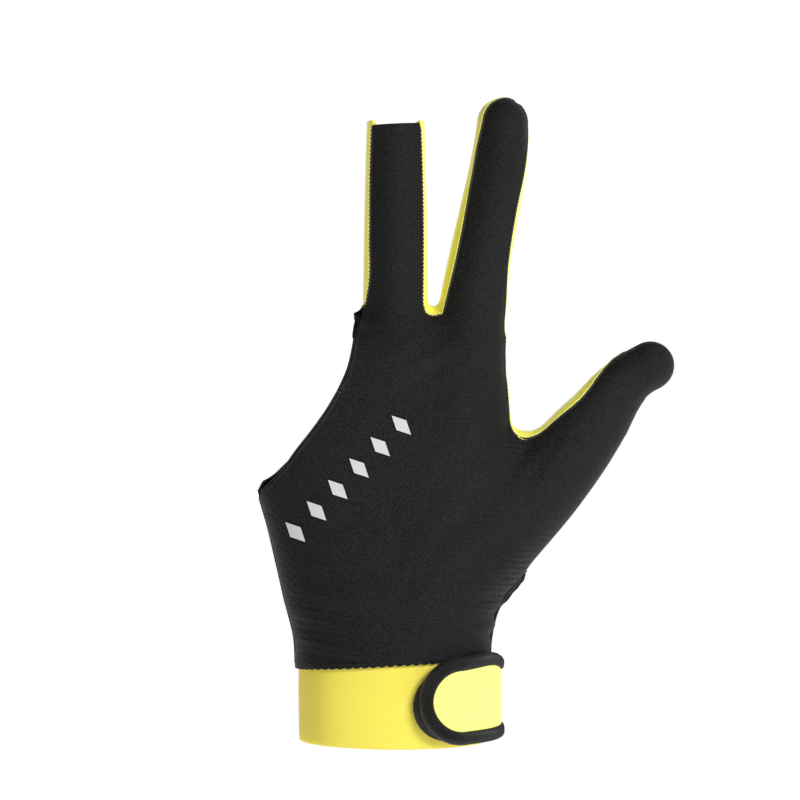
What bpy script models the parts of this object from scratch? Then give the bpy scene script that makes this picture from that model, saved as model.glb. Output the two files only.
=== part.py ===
"""Three-finger billiard glove for the left hand, in its worn form.

Origin: centre of the wrist opening. +Z runs to the fingertips, the back of the hand
faces -Y and the thumb points to +X. The cloth follows one hand form, whose skin is
found on a grid, cut into panels along the seams and thickened. Metres throughout.
"""

import math

import bmesh
import bpy
import numpy as np

# Hand form
WRIST_WIDTH = 0.0610
WRIST_DEPTH = 0.0420
PALM_WIDTH = 0.0830
PALM_DEPTH = 0.0290
PALM_LENGTH = 0.1110
MIDDLE_WIDTH = 0.0190
MIDDLE_LENGTH = 0.0800
INDEX_WIDTH = 0.0196
INDEX_LENGTH = 0.0720
THUMB_WIDTH = 0.0240
THUMB_LENGTH = 0.0735
FINGER_DEPTH_SHARE = 0.88
FINGER_CURL = 0.0050
THUMB_SWING = 0.0090
WEB_BLEND = 0.0085
THUMB_BLEND = 0.0165
WRIST_ZONE = 0.3
WRIST_ROW_DEPTH = 1.42
WRIST_ROW_WIDTH = 0.743
PALM_ROUNDNESS = 2.9
WRIST_ROUNDNESS = 2.4
LEAST_SIDE_DEPTH = 0.7

# Cloth
CLOTH = 0.0010
SEAM_GAP = 0.0003
BAND_HEIGHT = 0.0262
BAND_THICKNESS = 0.0025
BAND_TUCK = 0.0040
BAND_CLEARANCE = 0.0005
BAND_SLIT = 0.0070
SEAM_RISE = 0.0015
SEAM_TILT = 0.057
BAND_FOOT = 0.0015
BAND_BOW = 0.0010
MIDDLE_CUT_HEIGHT = 0.0710
GUSSET_SCALE = 0.0085
GUSSET_END_WIDTH = 0.0014
SLIT_HALF_WIDTH = 0.0014
SEAM_REACH = 0.0090

# Closure
STRAP_WIDTH = 0.0262
STRAP_REACH = 0.0312
STRAP_ANCHOR = 0.0330
STRAP_THICKNESS = 0.0013
STRAP_CLEARANCE = 0.0005
BINDING_WIDTH = 0.0042
BINDING_LEG = 0.0007
BINDING_GAP = 0.0003
HOOK_THICKNESS = 0.0006
HOOK_LENGTH = 0.0240
HOOK_WIDTH = 0.0210
HOOK_PEEK = 0.0038

# Mesh
GRID_STEP = 0.0046
TINY = 1e-9

# Palm rows: height over the wrist (share of PALM_LENGTH), ulnar edge, thumb edge
# (shares of PALM_WIDTH) and half-depth (share of half PALM_DEPTH).
PALM_ROWS = (
    (-0.27, -0.396, 0.345, 1.42),
    (-0.05, -0.396, 0.343, 1.42),
    (0.08, -0.400, 0.346, 1.36),
    (0.18, -0.432, 0.375, 1.30),
    (0.28, -0.461, 0.400, 1.24),
    (0.38, -0.492, 0.415, 1.19),
    (0.49, -0.533, 0.425, 1.14),
    (0.60, -0.560, 0.425, 1.08),
    (0.75, -0.600, 0.405, 0.98),
    (0.82, -0.620, 0.392, 0.90),
    (0.88, -0.630, 0.376, 0.79),
    (0.93, -0.640, 0.364, 0.64),
    (0.972, -0.640, 0.355, 0.42),
    (1.007, -0.640, 0.345, -0.40),
    (1.20, -0.640, 0.340, -1.60),
)

# Limb rows: share of the limb's length, sideways drift (share of its length) and
# half-width (share of half its width).
MIDDLE_ROWS = (
    (0.00, 0.000, 1.04),
    (0.30, -0.001, 1.01),
    (0.62, -0.001, 0.97),
    (1.00, -0.001, 0.88),
)
INDEX_ROWS = (
    (0.00, 0.000, 1.08),
    (0.20, -0.003, 1.06),
    (0.40, -0.004, 0.99),
    (0.63, 0.006, 0.94),
    (0.81, 0.012, 0.895),
    (0.95, 0.005, 0.83),
    (1.00, 0.000, 0.80),
)
THUMB_ROWS = (
    (0.00, 0.000, 0.98),
    (0.37, 0.006, 1.03),
    (0.58, 0.007, 0.97),
    (0.69, 0.010, 0.875),
    (0.83, 0.006, 0.74),
    (0.94, 0.024, 0.64),
    (1.00, 0.050, 0.635),
)
# Starts of the limbs on the palm: sideways (share of PALM_WIDTH), height over the
# wrist (share of PALM_LENGTH) and lean from upright towards the thumb, in degrees.
MIDDLE_START = (-0.0155, 0.870, 0.0)
INDEX_START = (0.245, 0.870, 9.0)
THUMB_START = (0.362, 0.330, 37.5)

# Swells: sideways (share of PALM_WIDTH), height (share of PALM_LENGTH), reach (share
# of PALM_WIDTH) and rise (share of the local half-depth).
PALM_SWELLS = (
    (0.270, 0.330, 0.26, 0.42),
    (-0.300, 0.300, 0.26, 0.22),
    (0.000, 0.560, 0.22, -0.12),
    (0.040, 0.860, 0.20, 0.10),
)
BACK_SWELLS = (
    (0.270, 0.840, 0.14, 0.10),
    (-0.010, 0.860, 0.14, 0.10),
    (0.240, 0.640, 0.13, 0.08),
    (0.125, 0.800, 0.10, -0.10),
    (0.330, 0.330, 0.20, 0.10),
)

# Gusset rows: share along the strip, then how far the strip reaches from the middle
# plane of the finger to the back and to the palm (shares of GUSSET_SCALE).
OUTER_GUSSET_ROWS = ((0.00, 0.64, 0.60), (0.62, 0.62, 0.60), (0.88, 0.40, 0.40), (1.00, 0.02, 0.02))
V_GUSSET_ROWS = (
    (0.00, 0.55, 0.60),
    (0.36, 0.56, 0.60),
    (0.44, 0.62, 0.66),
    (0.50, 0.62, 0.66),
    (0.62, 0.66, 0.62),
    (0.90, 0.66, 0.55),
    (0.98, 0.34, 0.30),
    (1.00, 0.02, 0.02),
)
THUMB_GUSSET_ROWS = (
    (0.00, -0.30, 0.32),
    (0.08, 0.10, 0.50),
    (0.20, 0.44, 0.58),
    (0.36, 0.44, 0.58),
    (0.50, 0.20, 0.60),
    (0.60, 0.14, 0.60),
    (0.68, 0.34, 0.62),
    (0.76, 0.62, 0.62),
    (0.92, 0.50, 0.52),
    (0.98, 0.10, 0.30),
    (1.00, 0.02, 0.02),
)
# Opening edge on the ulnar side: sideways (share of PALM_WIDTH) at each height (share
# of PALM_LENGTH) over the wrist, first on the back, then on the palm.
BACK_OPENING_ROWS = (
    (0.36, -0.720),
    (0.476, -0.507),
    (0.532, -0.428),
    (0.594, -0.366),
    (0.648, -0.309),
    (0.713, -0.248),
    (0.769, -0.206),
    (0.823, -0.175),
    (0.876, -0.158),
    (0.948, -0.144),
    (1.20, -0.142),
)
PALM_OPENING_ROWS = (
    (0.36, -0.790),
    (0.493, -0.530),
    (0.557, -0.400),
    (0.594, -0.352),
    (0.648, -0.294),
    (0.713, -0.232),
    (0.769, -0.190),
    (0.823, -0.163),
    (0.876, -0.153),
    (0.908, -0.153),
    (0.948, -0.166),
    (1.20, -0.170),
)
# Strap rows: share of the way from the anchor to the tab's end, then the shift of the
# strap's middle (share of STRAP_WIDTH) and its width (share of STRAP_WIDTH).
STRAP_ROWS = (
    (0.00, 0.04, 0.80),
    (0.30, 0.04, 0.90),
    (0.50, 0.02, 0.95),
    (0.61, 0.06, 1.04),
    (0.80, -0.03, 0.93),
    (1.00, -0.09, 0.90),
)
STRAP_MID_HEIGHT = 0.0160


def rows_at(rows, share, column):
    """Smooth curve through one column of a table, flat beyond its ends."""
    table = np.array(rows)
    x, y = table[:, 0], table[:, column]
    slope = np.gradient(y, x)
    share = np.clip(share, x[0], x[-1])
    i = np.clip(np.searchsorted(x, share) - 1, 0, len(x) - 2)
    h = x[i + 1] - x[i]
    t = (share - x[i]) / h
    return (
        (1 + 2 * t) * (1 - t) ** 2 * y[i]
        + t * (1 - t) ** 2 * h * slope[i]
        + t * t * (3 - 2 * t) * y[i + 1]
        + t * t * (t - 1) * h * slope[i + 1]
    )


def smooth_max(a, b, blend):
    """Larger of two fields of squared lengths, rounded where they are alike."""
    k = blend * blend
    h = np.maximum(k - np.abs(a - b), 0) / k
    return np.maximum(a, b) + h * h * k / 4


def limb_axis(start, rows, length, parts=20):
    """Centre line of a limb in the XZ plane and the share at each point."""
    share = np.linspace(0, 1, parts + 1)
    lean = math.radians(start[2])
    along = np.array([math.sin(lean), math.cos(lean)])
    across = np.array([math.cos(lean), -math.sin(lean)])
    base = np.array([start[0] * PALM_WIDTH, BAND_HEIGHT + start[1] * PALM_LENGTH])
    drift = rows_at(rows, share, 1)
    return base + length * (share[:, None] * along + drift[:, None] * across), share


def nearest_on(path, values, x, z):
    """Distance to a path in the XZ plane and a value read where it is nearest."""
    best = np.full(x.shape, np.inf)
    found = np.zeros(x.shape)
    for (x0, z0), (x1, z1), v0, v1 in zip(path, path[1:], values, values[1:]):
        dx, dz = x1 - x0, z1 - z0
        t = np.clip(((x - x0) * dx + (z - z0) * dz) / (dx * dx + dz * dz), 0, 1)
        d = (x - x0 - t * dx) ** 2 + (z - z0 - t * dz) ** 2
        nearer = d < best
        best = np.where(nearer, d, best)
        found = np.where(nearer, v0 + t * (v1 - v0), found)
    return np.sqrt(best), found


def limb_field(x, z, start, rows, length, width):
    """Squared half-depth of a limb, negative outside its outline."""
    path, share = limb_axis(start, rows, length)
    distance, at = nearest_on(path, share, x, z)
    half = rows_at(rows, at, 2) * width / 2
    return (FINGER_DEPTH_SHARE * half) ** 2 * (1 - (distance / half) ** 2)


def palm_field(x, z):
    """Squared half-depth of the palm and wrist, negative outside its outline."""
    share = (z - BAND_HEIGHT) / PALM_LENGTH
    left = rows_at(PALM_ROWS, share, 1) * PALM_WIDTH
    right = rows_at(PALM_ROWS, share, 2) * PALM_WIDTH
    depth = rows_at(PALM_ROWS, share, 3) * PALM_DEPTH / 2
    wrist = np.clip(1 - (z - BAND_HEIGHT) / (WRIST_ZONE * PALM_LENGTH), 0, 1)
    depth = depth * (1 + wrist * (WRIST_DEPTH / (WRIST_ROW_DEPTH * PALM_DEPTH) - 1))
    narrow = 1 + wrist * (WRIST_WIDTH / (WRIST_ROW_WIDTH * PALM_WIDTH) - 1)
    middle, half = (left + right) / 2, (right - left) / 2 * narrow
    power = PALM_ROUNDNESS + wrist * (WRIST_ROUNDNESS - PALM_ROUNDNESS)
    across = np.abs((x - middle) / half) ** power
    side = np.maximum(depth, LEAST_SIDE_DEPTH * PALM_DEPTH / 2)
    return depth * np.abs(depth) - side * side * across


def half_depth_squared(x, z):
    """Squared half-depth of the whole hand form, negative outside its outline."""
    middle = limb_field(x, z, MIDDLE_START, MIDDLE_ROWS, MIDDLE_LENGTH, MIDDLE_WIDTH)
    index = limb_field(x, z, INDEX_START, INDEX_ROWS, INDEX_LENGTH, INDEX_WIDTH)
    thumb = limb_field(x, z, THUMB_START, THUMB_ROWS, THUMB_LENGTH, THUMB_WIDTH)
    form = smooth_max(palm_field(x, z), middle, WEB_BLEND)
    form = smooth_max(form, index, WEB_BLEND)
    return smooth_max(form, thumb, THUMB_BLEND)


def middle_plane(x, z):
    """Y of the form's middle: fingers curl and the thumb swings towards the palm."""
    knuckles = BAND_HEIGHT + PALM_LENGTH
    up = np.clip((z - knuckles) / MIDDLE_LENGTH, 0, None)
    out = np.clip((x - 0.2 * PALM_WIDTH) / (0.8 * PALM_WIDTH), 0, 1)
    low = np.clip((knuckles - z) / (0.35 * PALM_LENGTH), 0, 1)
    return FINGER_CURL * up * up + THUMB_SWING * out * out * (3 - 2 * out) * low * low * (3 - 2 * low)


def swell(rows, x, z):
    """Factor by which mounds and hollows raise one side of the form."""
    total = np.ones(x.shape)
    for side, height, reach, rise in rows:
        dx = (x - side * PALM_WIDTH) / (reach * PALM_WIDTH)
        dz = (z - BAND_HEIGHT - height * PALM_LENGTH) / (reach * PALM_WIDTH)
        total = total + rise * np.exp(-(dx * dx + dz * dz))
    return total


def form_field(p):
    """Positive inside the hand form, zero on its skin."""
    x, y, z = p[..., 0], p[..., 1], p[..., 2]
    off = y - middle_plane(x, z)
    side = np.where(off > 0, swell(PALM_SWELLS, x, z), swell(BACK_SWELLS, x, z))
    return half_depth_squared(x, z) - (off / side) ** 2


def form_gradient(p, h=0.0002):
    """Central differences of the form's field."""
    columns = []
    for axis in range(3):
        step = np.zeros(3)
        step[axis] = h
        columns.append((form_field(p + step) - form_field(p - step)) / (2 * h))
    return np.stack(columns, axis=-1)


def onto_skin(p, rounds=4):
    """Move points to the form's skin along its gradient."""
    for _ in range(rounds):
        g = form_gradient(p)
        p = p - (form_field(p) / np.maximum((g * g).sum(-1), TINY))[..., None] * g
    return p


def outward(p):
    """Unit normals of the form's skin, pointing out of the hand."""
    g = -form_gradient(p)
    return g / np.maximum(np.linalg.norm(g, axis=-1), TINY)[..., None]


def skin_net(step):
    """Triangle mesh of the form's skin, from a grid of cells with that step."""
    knuckles = BAND_HEIGHT + PALM_LENGTH
    low = np.array([-0.66 * PALM_WIDTH, -0.95 * PALM_DEPTH, BAND_HEIGHT - 2 * step])
    high = np.array([1.10 * PALM_WIDTH, 1.25 * PALM_DEPTH, knuckles + MIDDLE_LENGTH])
    count = np.ceil((high - low) / step).astype(int) + 1
    axes = [low[i] + step * np.arange(count[i]) for i in range(3)]
    value = form_field(np.stack(np.meshgrid(*axes, indexing="ij"), axis=-1))
    inside = value > 0
    total = np.zeros(tuple(count - 1) + (3,))
    crossed = np.zeros(tuple(count - 1))
    for axis in range(3):
        first = [slice(0, n) for n in count]
        second = list(first)
        first[axis], second[axis] = slice(0, count[axis] - 1), slice(1, count[axis])
        a, b = value[tuple(first)], value[tuple(second)]
        cut = (a > 0) != (b > 0)
        t = np.where(cut, a / np.where(cut, a - b, 1), 0)
        others = [i for i in range(3) if i != axis]
        for i in (0, 1):
            for j in (0, 1):
                part = [slice(None)] * 3
                part[others[0]] = slice(i, count[others[0]] - 1 + i)
                part[others[1]] = slice(j, count[others[1]] - 1 + j)
                here = cut[tuple(part)]
                offset = np.zeros(here.shape + (3,))
                offset[..., axis] = t[tuple(part)]
                offset[..., others[0]] = i
                offset[..., others[1]] = j
                total += np.where(here[..., None], offset, 0)
                crossed += here
    cell = np.argwhere(crossed > 0)
    number = np.full(crossed.shape, -1)
    number[tuple(cell.T)] = np.arange(len(cell))
    at = tuple(cell.T)
    points = low + step * (cell + total[at] / crossed[at][:, None])
    return onto_skin(points), net_triangles(inside, number, count)


def net_triangles(inside, number, count):
    """Two triangles around each grid edge that the skin crosses."""
    quads = []
    for axis in range(3):
        u, v = (axis + 1) % 3, (axis + 2) % 3
        inner = [slice(None)] * 3
        inner[axis] = slice(0, count[axis] - 1)
        inner[u] = slice(1, count[u] - 1)
        inner[v] = slice(1, count[v] - 1)
        beyond = list(inner)
        beyond[axis] = slice(1, count[axis])
        a, b = inside[tuple(inner)], inside[tuple(beyond)]
        for leaving in (True, False):
            edge = np.argwhere((a & ~b) if leaving else (~a & b))
            edge[:, u] += 1
            edge[:, v] += 1
            ring = []
            for du, dv in ((1, 1), (0, 1), (0, 0), (1, 0)):
                c = edge.copy()
                c[:, u] -= du
                c[:, v] -= dv
                ring.append(number[tuple(c.T)])
            quad = np.stack(ring, axis=1)
            quads.append(quad if leaving else quad[:, ::-1])
    quads = np.concatenate(quads)
    return np.concatenate([quads[:, [0, 1, 2]], quads[:, [0, 2, 3]]])


def relaxed(points, triangles, rounds=3):
    """Even out a closed net while it stays on the skin."""
    pairs = np.concatenate([triangles[:, [0, 1]], triangles[:, [1, 2]], triangles[:, [2, 0]]])
    for _ in range(rounds):
        total, count = np.zeros(points.shape), np.zeros(len(points))
        np.add.at(total, pairs[:, 0], points[pairs[:, 1]])
        np.add.at(count, pairs[:, 0], 1)
        mean = np.where(count[:, None] > 0, total / np.maximum(count, 1)[:, None], points)
        points = onto_skin(0.5 * (points + mean), 2)
    return points


def keep_positive(points, triangles, field, snap=0.3):
    """The part of a mesh where a field of its points is positive, cut along zero."""
    value = field(points)
    edges = np.concatenate([triangles[:, [0, 1]], triangles[:, [1, 2]], triangles[:, [2, 0]]])
    edges = np.unique(np.sort(edges, axis=1), axis=0)
    a, b = edges[:, 0], edges[:, 1]
    cut = (value[a] > 0) != (value[b] > 0)
    a, b = a[cut], b[cut]
    t = value[a] / (value[a] - value[b])
    points, snapped = points.copy(), np.ones(len(points))
    target = points.copy()
    for near, far, way in ((a, b, t), (b, a, 1 - t)):
        for i in np.argsort(-way, kind="stable"):
            if way[i] < snap and way[i] < snapped[near[i]]:
                snapped[near[i]] = way[i]
                target[near[i]] = points[near[i]] + way[i] * (points[far[i]] - points[near[i]])
    moved = snapped < snap
    points[moved] = target[moved]
    value = np.where(moved, 0.0, value)
    made, corners, out = [], {}, []
    for triangle in triangles:
        v = value[triangle]
        if (v <= 0).all():
            continue
        if (v >= 0).all():
            out.append(tuple(triangle))
            continue
        ring = []
        for i in range(3):
            p, q = triangle[i], triangle[(i + 1) % 3]
            if value[p] >= 0:
                ring.append(p)
            if value[p] * value[q] < 0:
                key = (min(p, q), max(p, q))
                if key not in corners:
                    s = value[key[0]] / (value[key[0]] - value[key[1]])
                    corners[key] = len(points) + len(made)
                    made.append(points[key[0]] + s * (points[key[1]] - points[key[0]]))
                ring.append(corners[key])
        out += [(ring[0], ring[i], ring[i + 1]) for i in range(1, len(ring) - 1)]
    points = np.concatenate([points, np.array(made).reshape(-1, 3)])
    used, out = np.unique(np.array(out), return_inverse=True)
    return onto_skin(points[used], 2), out.reshape(-1, 3)


def largest_piece(points, triangles):
    """The connected part of a mesh with the most triangles."""
    label = np.arange(len(points))
    while True:
        low = label[triangles].min(1)
        before = label.copy()
        for i in range(3):
            np.minimum.at(label, triangles[:, i], low)
        if (label == before).all():
            break
    owner = label[triangles[:, 0]]
    best = np.bincount(owner).argmax()
    kept = without_pinches(triangles[owner == best])
    used, kept = np.unique(kept, return_inverse=True)
    return points[used], kept.reshape(-1, 3)


def rim_edges(triangles):
    """Directed edges on the rim of a cut mesh."""
    edges = np.concatenate([triangles[:, [0, 1]], triangles[:, [1, 2]], triangles[:, [2, 0]]])
    known = {(a, b) for a, b in edges.tolist()}
    return [(a, b) for a, b in edges.tolist() if (b, a) not in known]


def without_pinches(triangles):
    """Drop the triangles at points where a cut mesh meets itself corner to corner."""
    while True:
        starts = np.bincount([a for a, _ in rim_edges(triangles)], minlength=triangles.max() + 1)
        pinched = starts > 1
        if not pinched.any():
            return triangles
        triangles = triangles[~pinched[triangles].any(1)]


def opening_field(rows):
    """Field that is positive on the thumb side of an opening's edge."""

    def field(p):
        share = (p[:, 2] - BAND_HEIGHT) / PALM_LENGTH
        h = 0.005
        edge = rows_at(rows, share, 1) * PALM_WIDTH
        slope = (rows_at(rows, share + h, 1) - rows_at(rows, share - h, 1)) * PALM_WIDTH
        return (p[:, 0] - edge) / np.sqrt(1 + (slope / (2 * h * PALM_LENGTH)) ** 2)

    return field


def limb_side(start, rows, length, width, sign, shares):
    """Points on one side of a limb's outline at the given shares of its length."""
    path, share = limb_axis(start, rows, length)
    along = np.gradient(path, axis=0)
    along /= np.linalg.norm(along, axis=1)[:, None]
    across = np.stack([along[:, 1], -along[:, 0]], axis=1)
    side = path + sign * (rows_at(rows, share, 2) * width / 2)[:, None] * across
    return [(np.interp(s, share, side[:, 0]), np.interp(s, share, side[:, 1])) for s in shares]


def limb_tip(start, rows, length, width, turn):
    """Point on a limb's round tip, turned from its far end towards the thumb side."""
    path, _ = limb_axis(start, rows, length)
    angle = math.radians(start[2] + turn)
    return tuple(path[-1] + rows[-1][2] * width / 2 * np.array([math.sin(angle), math.cos(angle)]))


def palm_point(side, height):
    """Point in the XZ plane from shares of the palm's width and length."""
    return (side * PALM_WIDTH, BAND_HEIGHT + height * PALM_LENGTH)


MIDDLE = (MIDDLE_START, MIDDLE_ROWS, MIDDLE_LENGTH, MIDDLE_WIDTH)
INDEX = (INDEX_START, INDEX_ROWS, INDEX_LENGTH, INDEX_WIDTH)
THUMB = (THUMB_START, THUMB_ROWS, THUMB_LENGTH, THUMB_WIDTH)


def seam_paths():
    """Outline stretches where the seams part, each with its rows of reaches."""
    outer = limb_side(*MIDDLE, -1, (1.0, 0.8, 0.6, 0.4, 0.2, 0.11))
    v_strip = limb_side(*MIDDLE, 1, (1.0, 0.7, 0.45, 0.28))
    v_strip += [palm_point(0.137, 0.983)]
    v_strip += limb_side(*INDEX, -1, (0.32, 0.45, 0.6, 0.75, 0.9, 1.0))
    v_strip += [limb_tip(*INDEX, -50), limb_tip(*INDEX, -10), limb_tip(*INDEX, 25)]
    thumb_strip = [limb_tip(*INDEX, 30), limb_tip(*INDEX, 60)]
    thumb_strip += limb_side(*INDEX, 1, (1.0, 0.8, 0.6, 0.4, 0.2, 0.02))
    thumb_strip += [palm_point(0.400, 0.735), palm_point(0.440, 0.690), palm_point(0.485, 0.669)]
    thumb_strip += [palm_point(0.535, 0.685)]
    thumb_strip += limb_side(*THUMB, -1, (0.62, 0.74, 0.86, 0.95))
    slit = [palm_point(0.490, 0.255), palm_point(0.440, 0.19), palm_point(0.37, 0.10)]
    slit += [palm_point(0.343, 0.0), palm_point(0.343, -0.2)]
    return (
        (outer, OUTER_GUSSET_ROWS, GUSSET_SCALE),
        (v_strip, V_GUSSET_ROWS, GUSSET_SCALE),
        (thumb_strip, THUMB_GUSSET_ROWS, GUSSET_SCALE),
        (slit, ((0.0, 0.1, 0.1), (0.35, 1.0, 1.0), (1.0, 1.0, 1.0)), SLIT_HALF_WIDTH),
    )


def seam_reach(p):
    """Reaches of the seams to back and palm at each point, and the nearest stretch."""
    best = np.full(len(p), np.inf)
    back, palm = np.zeros(len(p)), np.zeros(len(p))
    owner = np.zeros(len(p), int)
    for i, (path, rows, scale) in enumerate(seam_paths()):
        path = np.array(path)
        run = np.concatenate([[0], np.cumsum(np.linalg.norm(np.diff(path, axis=0), axis=1))])
        distance, share = nearest_on(path, run / run[-1], p[:, 0], p[:, 2])
        nearer = distance < best
        best = np.where(nearer, distance, best)
        owner = np.where(nearer, i, owner)
        fade = scale * np.clip(3 * (1 - distance / SEAM_REACH), 0, 1)
        back = np.where(nearer, rows_at(rows, share, 1) * fade, back)
        palm = np.where(nearer, rows_at(rows, share, 2) * fade, palm)
    return back, palm, owner


def off_plane(p):
    """Height of points over the form's middle plane, towards the palm."""
    return p[:, 1] - middle_plane(p[:, 0], p[:, 2])


def thickened(points, triangles, thickness, lift=0.0):
    """Closed shell between two offsets of a cut skin."""
    normal = outward(points)
    count = len(points)
    shell = np.concatenate([points + lift * normal, points + (lift - thickness) * normal])
    rim = rim_edges(triangles)
    faces = triangles.tolist() + (triangles[:, ::-1] + count).tolist()
    faces += [(b, a, a + count) for a, b in rim] + [(b, a + count, b + count) for a, b in rim]
    return shell, faces


def material(name, colour, roughness):
    """Plain cloth material."""
    made = bpy.data.materials.new(name)
    made.use_nodes = True
    shader = made.node_tree.nodes["Principled BSDF"]
    shader.inputs["Base Color"].default_value = (*colour, 1)
    shader.inputs["Roughness"].default_value = roughness
    shader.inputs["Metallic"].default_value = 0.0
    return made


def add_solid(name, points, faces, cloth):
    """Object of one closed solid with its material, shaded smooth."""
    mesh = bpy.data.meshes.new(name)
    mesh.from_pydata([tuple(map(float, p)) for p in points], [], [tuple(map(int, f)) for f in faces])
    mesh.shade_smooth()
    mesh.set_sharp_from_angle(angle=math.radians(50))
    mesh.materials.append(cloth)
    solid = bpy.data.objects.new(name, mesh)
    bpy.context.scene.collection.objects.link(solid)
    return solid


def seam_height(x):
    """Height of the panels' lower edge, which rises towards the thumb side."""
    return BAND_HEIGHT + SEAM_RISE + SEAM_TILT * x


def skin_panels(black, yellow):
    """Back panel, palm panel and the three gussets, cut from the form's skin."""
    points, triangles = skin_net(GRID_STEP)
    points = relaxed(points, triangles)
    cut_height = BAND_HEIGHT + MIDDLE_START[1] * PALM_LENGTH + MIDDLE_CUT_HEIGHT
    points, triangles = keep_positive(points, triangles, lambda p: p[:, 2] - seam_height(p[:, 0]))
    points, triangles = keep_positive(
        points, triangles, lambda p: np.maximum(cut_height - p[:, 2], p[:, 0] - 0.16 * PALM_WIDTH)
    )
    half = SEAM_GAP / 2
    back = keep_positive(points, triangles, lambda p: -off_plane(p) - seam_reach(p)[0] - half)
    back = keep_positive(*back, opening_field(BACK_OPENING_ROWS))
    palm = keep_positive(points, triangles, lambda p: off_plane(p) - seam_reach(p)[1] - half)
    palm = keep_positive(*palm, opening_field(PALM_OPENING_ROWS))
    add_solid("back_panel", *thickened(*largest_piece(*back), CLOTH), black)
    add_solid("palm_panel", *thickened(*largest_piece(*palm), CLOTH), black)
    strip = keep_positive(points, triangles, lambda p: off_plane(p) + seam_reach(p)[0] - half)
    strip = keep_positive(*strip, opening_field(BACK_OPENING_ROWS))
    strip = keep_positive(*strip, lambda p: seam_reach(p)[1] - off_plane(p) - half)
    strip = keep_positive(*strip, lambda p: sum(seam_reach(p)[:2]) - GUSSET_END_WIDTH)
    names = ("middle_outer_gusset", "middle_index_gusset", "index_thumb_gusset")
    for i, name in enumerate(names):
        owner = seam_reach(strip[0])[2]
        mine = strip[1][(owner[strip[1]] == i).all(1)]
        add_solid(name, *thickened(*largest_piece(strip[0], mine), CLOTH), yellow)


class WristWrap:
    """Places points round the wrist: along its girth, at a height, lifted off it."""

    def __init__(self, parts=240):
        turn = np.linspace(-math.pi, math.pi, parts + 1)
        girth = self.ring(turn, np.full(parts + 1, BAND_HEIGHT / 2))
        step = np.linalg.norm(np.diff(girth, axis=0), axis=1)
        run = np.concatenate([[0], np.cumsum(step)])
        self.turn = turn
        self.run = run - np.interp(0, turn, run)
        self.girth = run[-1]

    def ring(self, turn, z):
        """Points of the skin in a direction round the wrist, 0 at the thumb side."""
        middle = (PALM_ROWS[1][1] + PALM_ROWS[1][2]) / 2 * PALM_WIDTH
        way = np.stack([np.cos(turn), -np.sin(turn)], axis=1)
        low, high = np.full(len(turn), 0.25 * WRIST_DEPTH), np.full(len(turn), 0.8 * WRIST_WIDTH)
        for _ in range(30):
            r = (low + high) / 2
            p = np.stack([middle + r * way[:, 0], r * way[:, 1], z], axis=1)
            inside = form_field(p) > 0
            low, high = np.where(inside, r, low), np.where(inside, high, r)
        return p

    def place(self, u, z, lift):
        """Points at girth u (towards the back), height z and lift off the skin."""
        u, z, lift = (np.atleast_1d(np.asarray(v, float)) for v in (u, z, lift))
        u, z, lift = np.broadcast_arrays(u, z, lift)
        p = self.ring(np.interp(u, self.run, self.turn), z)
        return p + lift[:, None] * outward(p)


def tube_of(rings, closed_ends=True):
    """Faces of a row of equal rings, with fans over both ends."""
    count, size = len(rings), len(rings[0])
    points = np.concatenate(rings)
    faces = []
    for i in range(count - 1):
        for j in range(size):
            a, b = i * size + j, i * size + (j + 1) % size
            faces.append((a, b, b + size, a + size))
    if closed_ends:
        faces.append(tuple(range(size - 1, -1, -1)))
        faces.append(tuple(range((count - 1) * size, count * size)))
    return points, faces


def add_swept(name, rings, cloth):
    """Object swept through rings, triangulated and turned right side out."""
    points, faces = tube_of(rings)
    solid = add_solid(name, points, faces, cloth)
    mesh = bmesh.new()
    mesh.from_mesh(solid.data)
    bmesh.ops.triangulate(mesh, faces=mesh.faces)
    bmesh.ops.recalc_face_normals(mesh, faces=mesh.faces)
    mesh.to_mesh(solid.data)
    mesh.free()
    return solid


def wristband(wrap, yellow):
    """Band round the wrist, open at the thumb side, its top tucked under the panels."""
    start, end = BAND_SLIT / 2, wrap.girth - BAND_SLIT / 2
    outer = -(CLOTH + BAND_CLEARANCE)
    levels = (0.0, 0.33, 0.66, 1.0)
    rings = []
    for u in np.linspace(start, end, 46):
        around = u if u < wrap.run[-1] else u - wrap.girth
        x = wrap.place(around, BAND_HEIGHT / 2, outer)[0][0]
        foot = BAND_FOOT + BAND_BOW * (2 * x / WRIST_WIDTH) ** 2
        top = seam_height(x) + BAND_TUCK
        heights = [foot + (top - foot) * s for s in levels]
        z = heights + heights[::-1]
        lift = [outer] * len(levels) + [outer - BAND_THICKNESS] * len(levels)
        rings.append(wrap.place(around, z, lift))
    return add_swept("wristband", rings, yellow)


def strap_frame(share):
    """Middle height and half-width of the strap at a share of its length."""
    middle = STRAP_MID_HEIGHT + rows_at(STRAP_ROWS, share, 1) * STRAP_WIDTH
    return middle, rows_at(STRAP_ROWS, share, 2) * STRAP_WIDTH / 2


def strap_edge(inset, steps=26):
    """Edge of the strap from its anchor over the top, round the tab and back."""
    length = STRAP_ANCHOR + STRAP_REACH
    _, radius = strap_frame(1.0)
    straight = length - radius
    top, bottom = [], []
    for share in np.linspace(0, straight / length, steps):
        middle, half = strap_frame(share)
        top.append((share * length - STRAP_ANCHOR, middle + half - inset))
        bottom.append((share * length - STRAP_ANCHOR, middle - half + inset))
    middle, half = strap_frame(straight / length)
    arc = []
    for turn in np.linspace(math.pi / 2, -math.pi / 2, 15)[1:-1]:
        along = straight - STRAP_ANCHOR + (radius - inset) * math.cos(turn)
        arc.append((along, middle + (half - inset) * math.sin(turn)))
    return top + arc + bottom[::-1]


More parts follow.
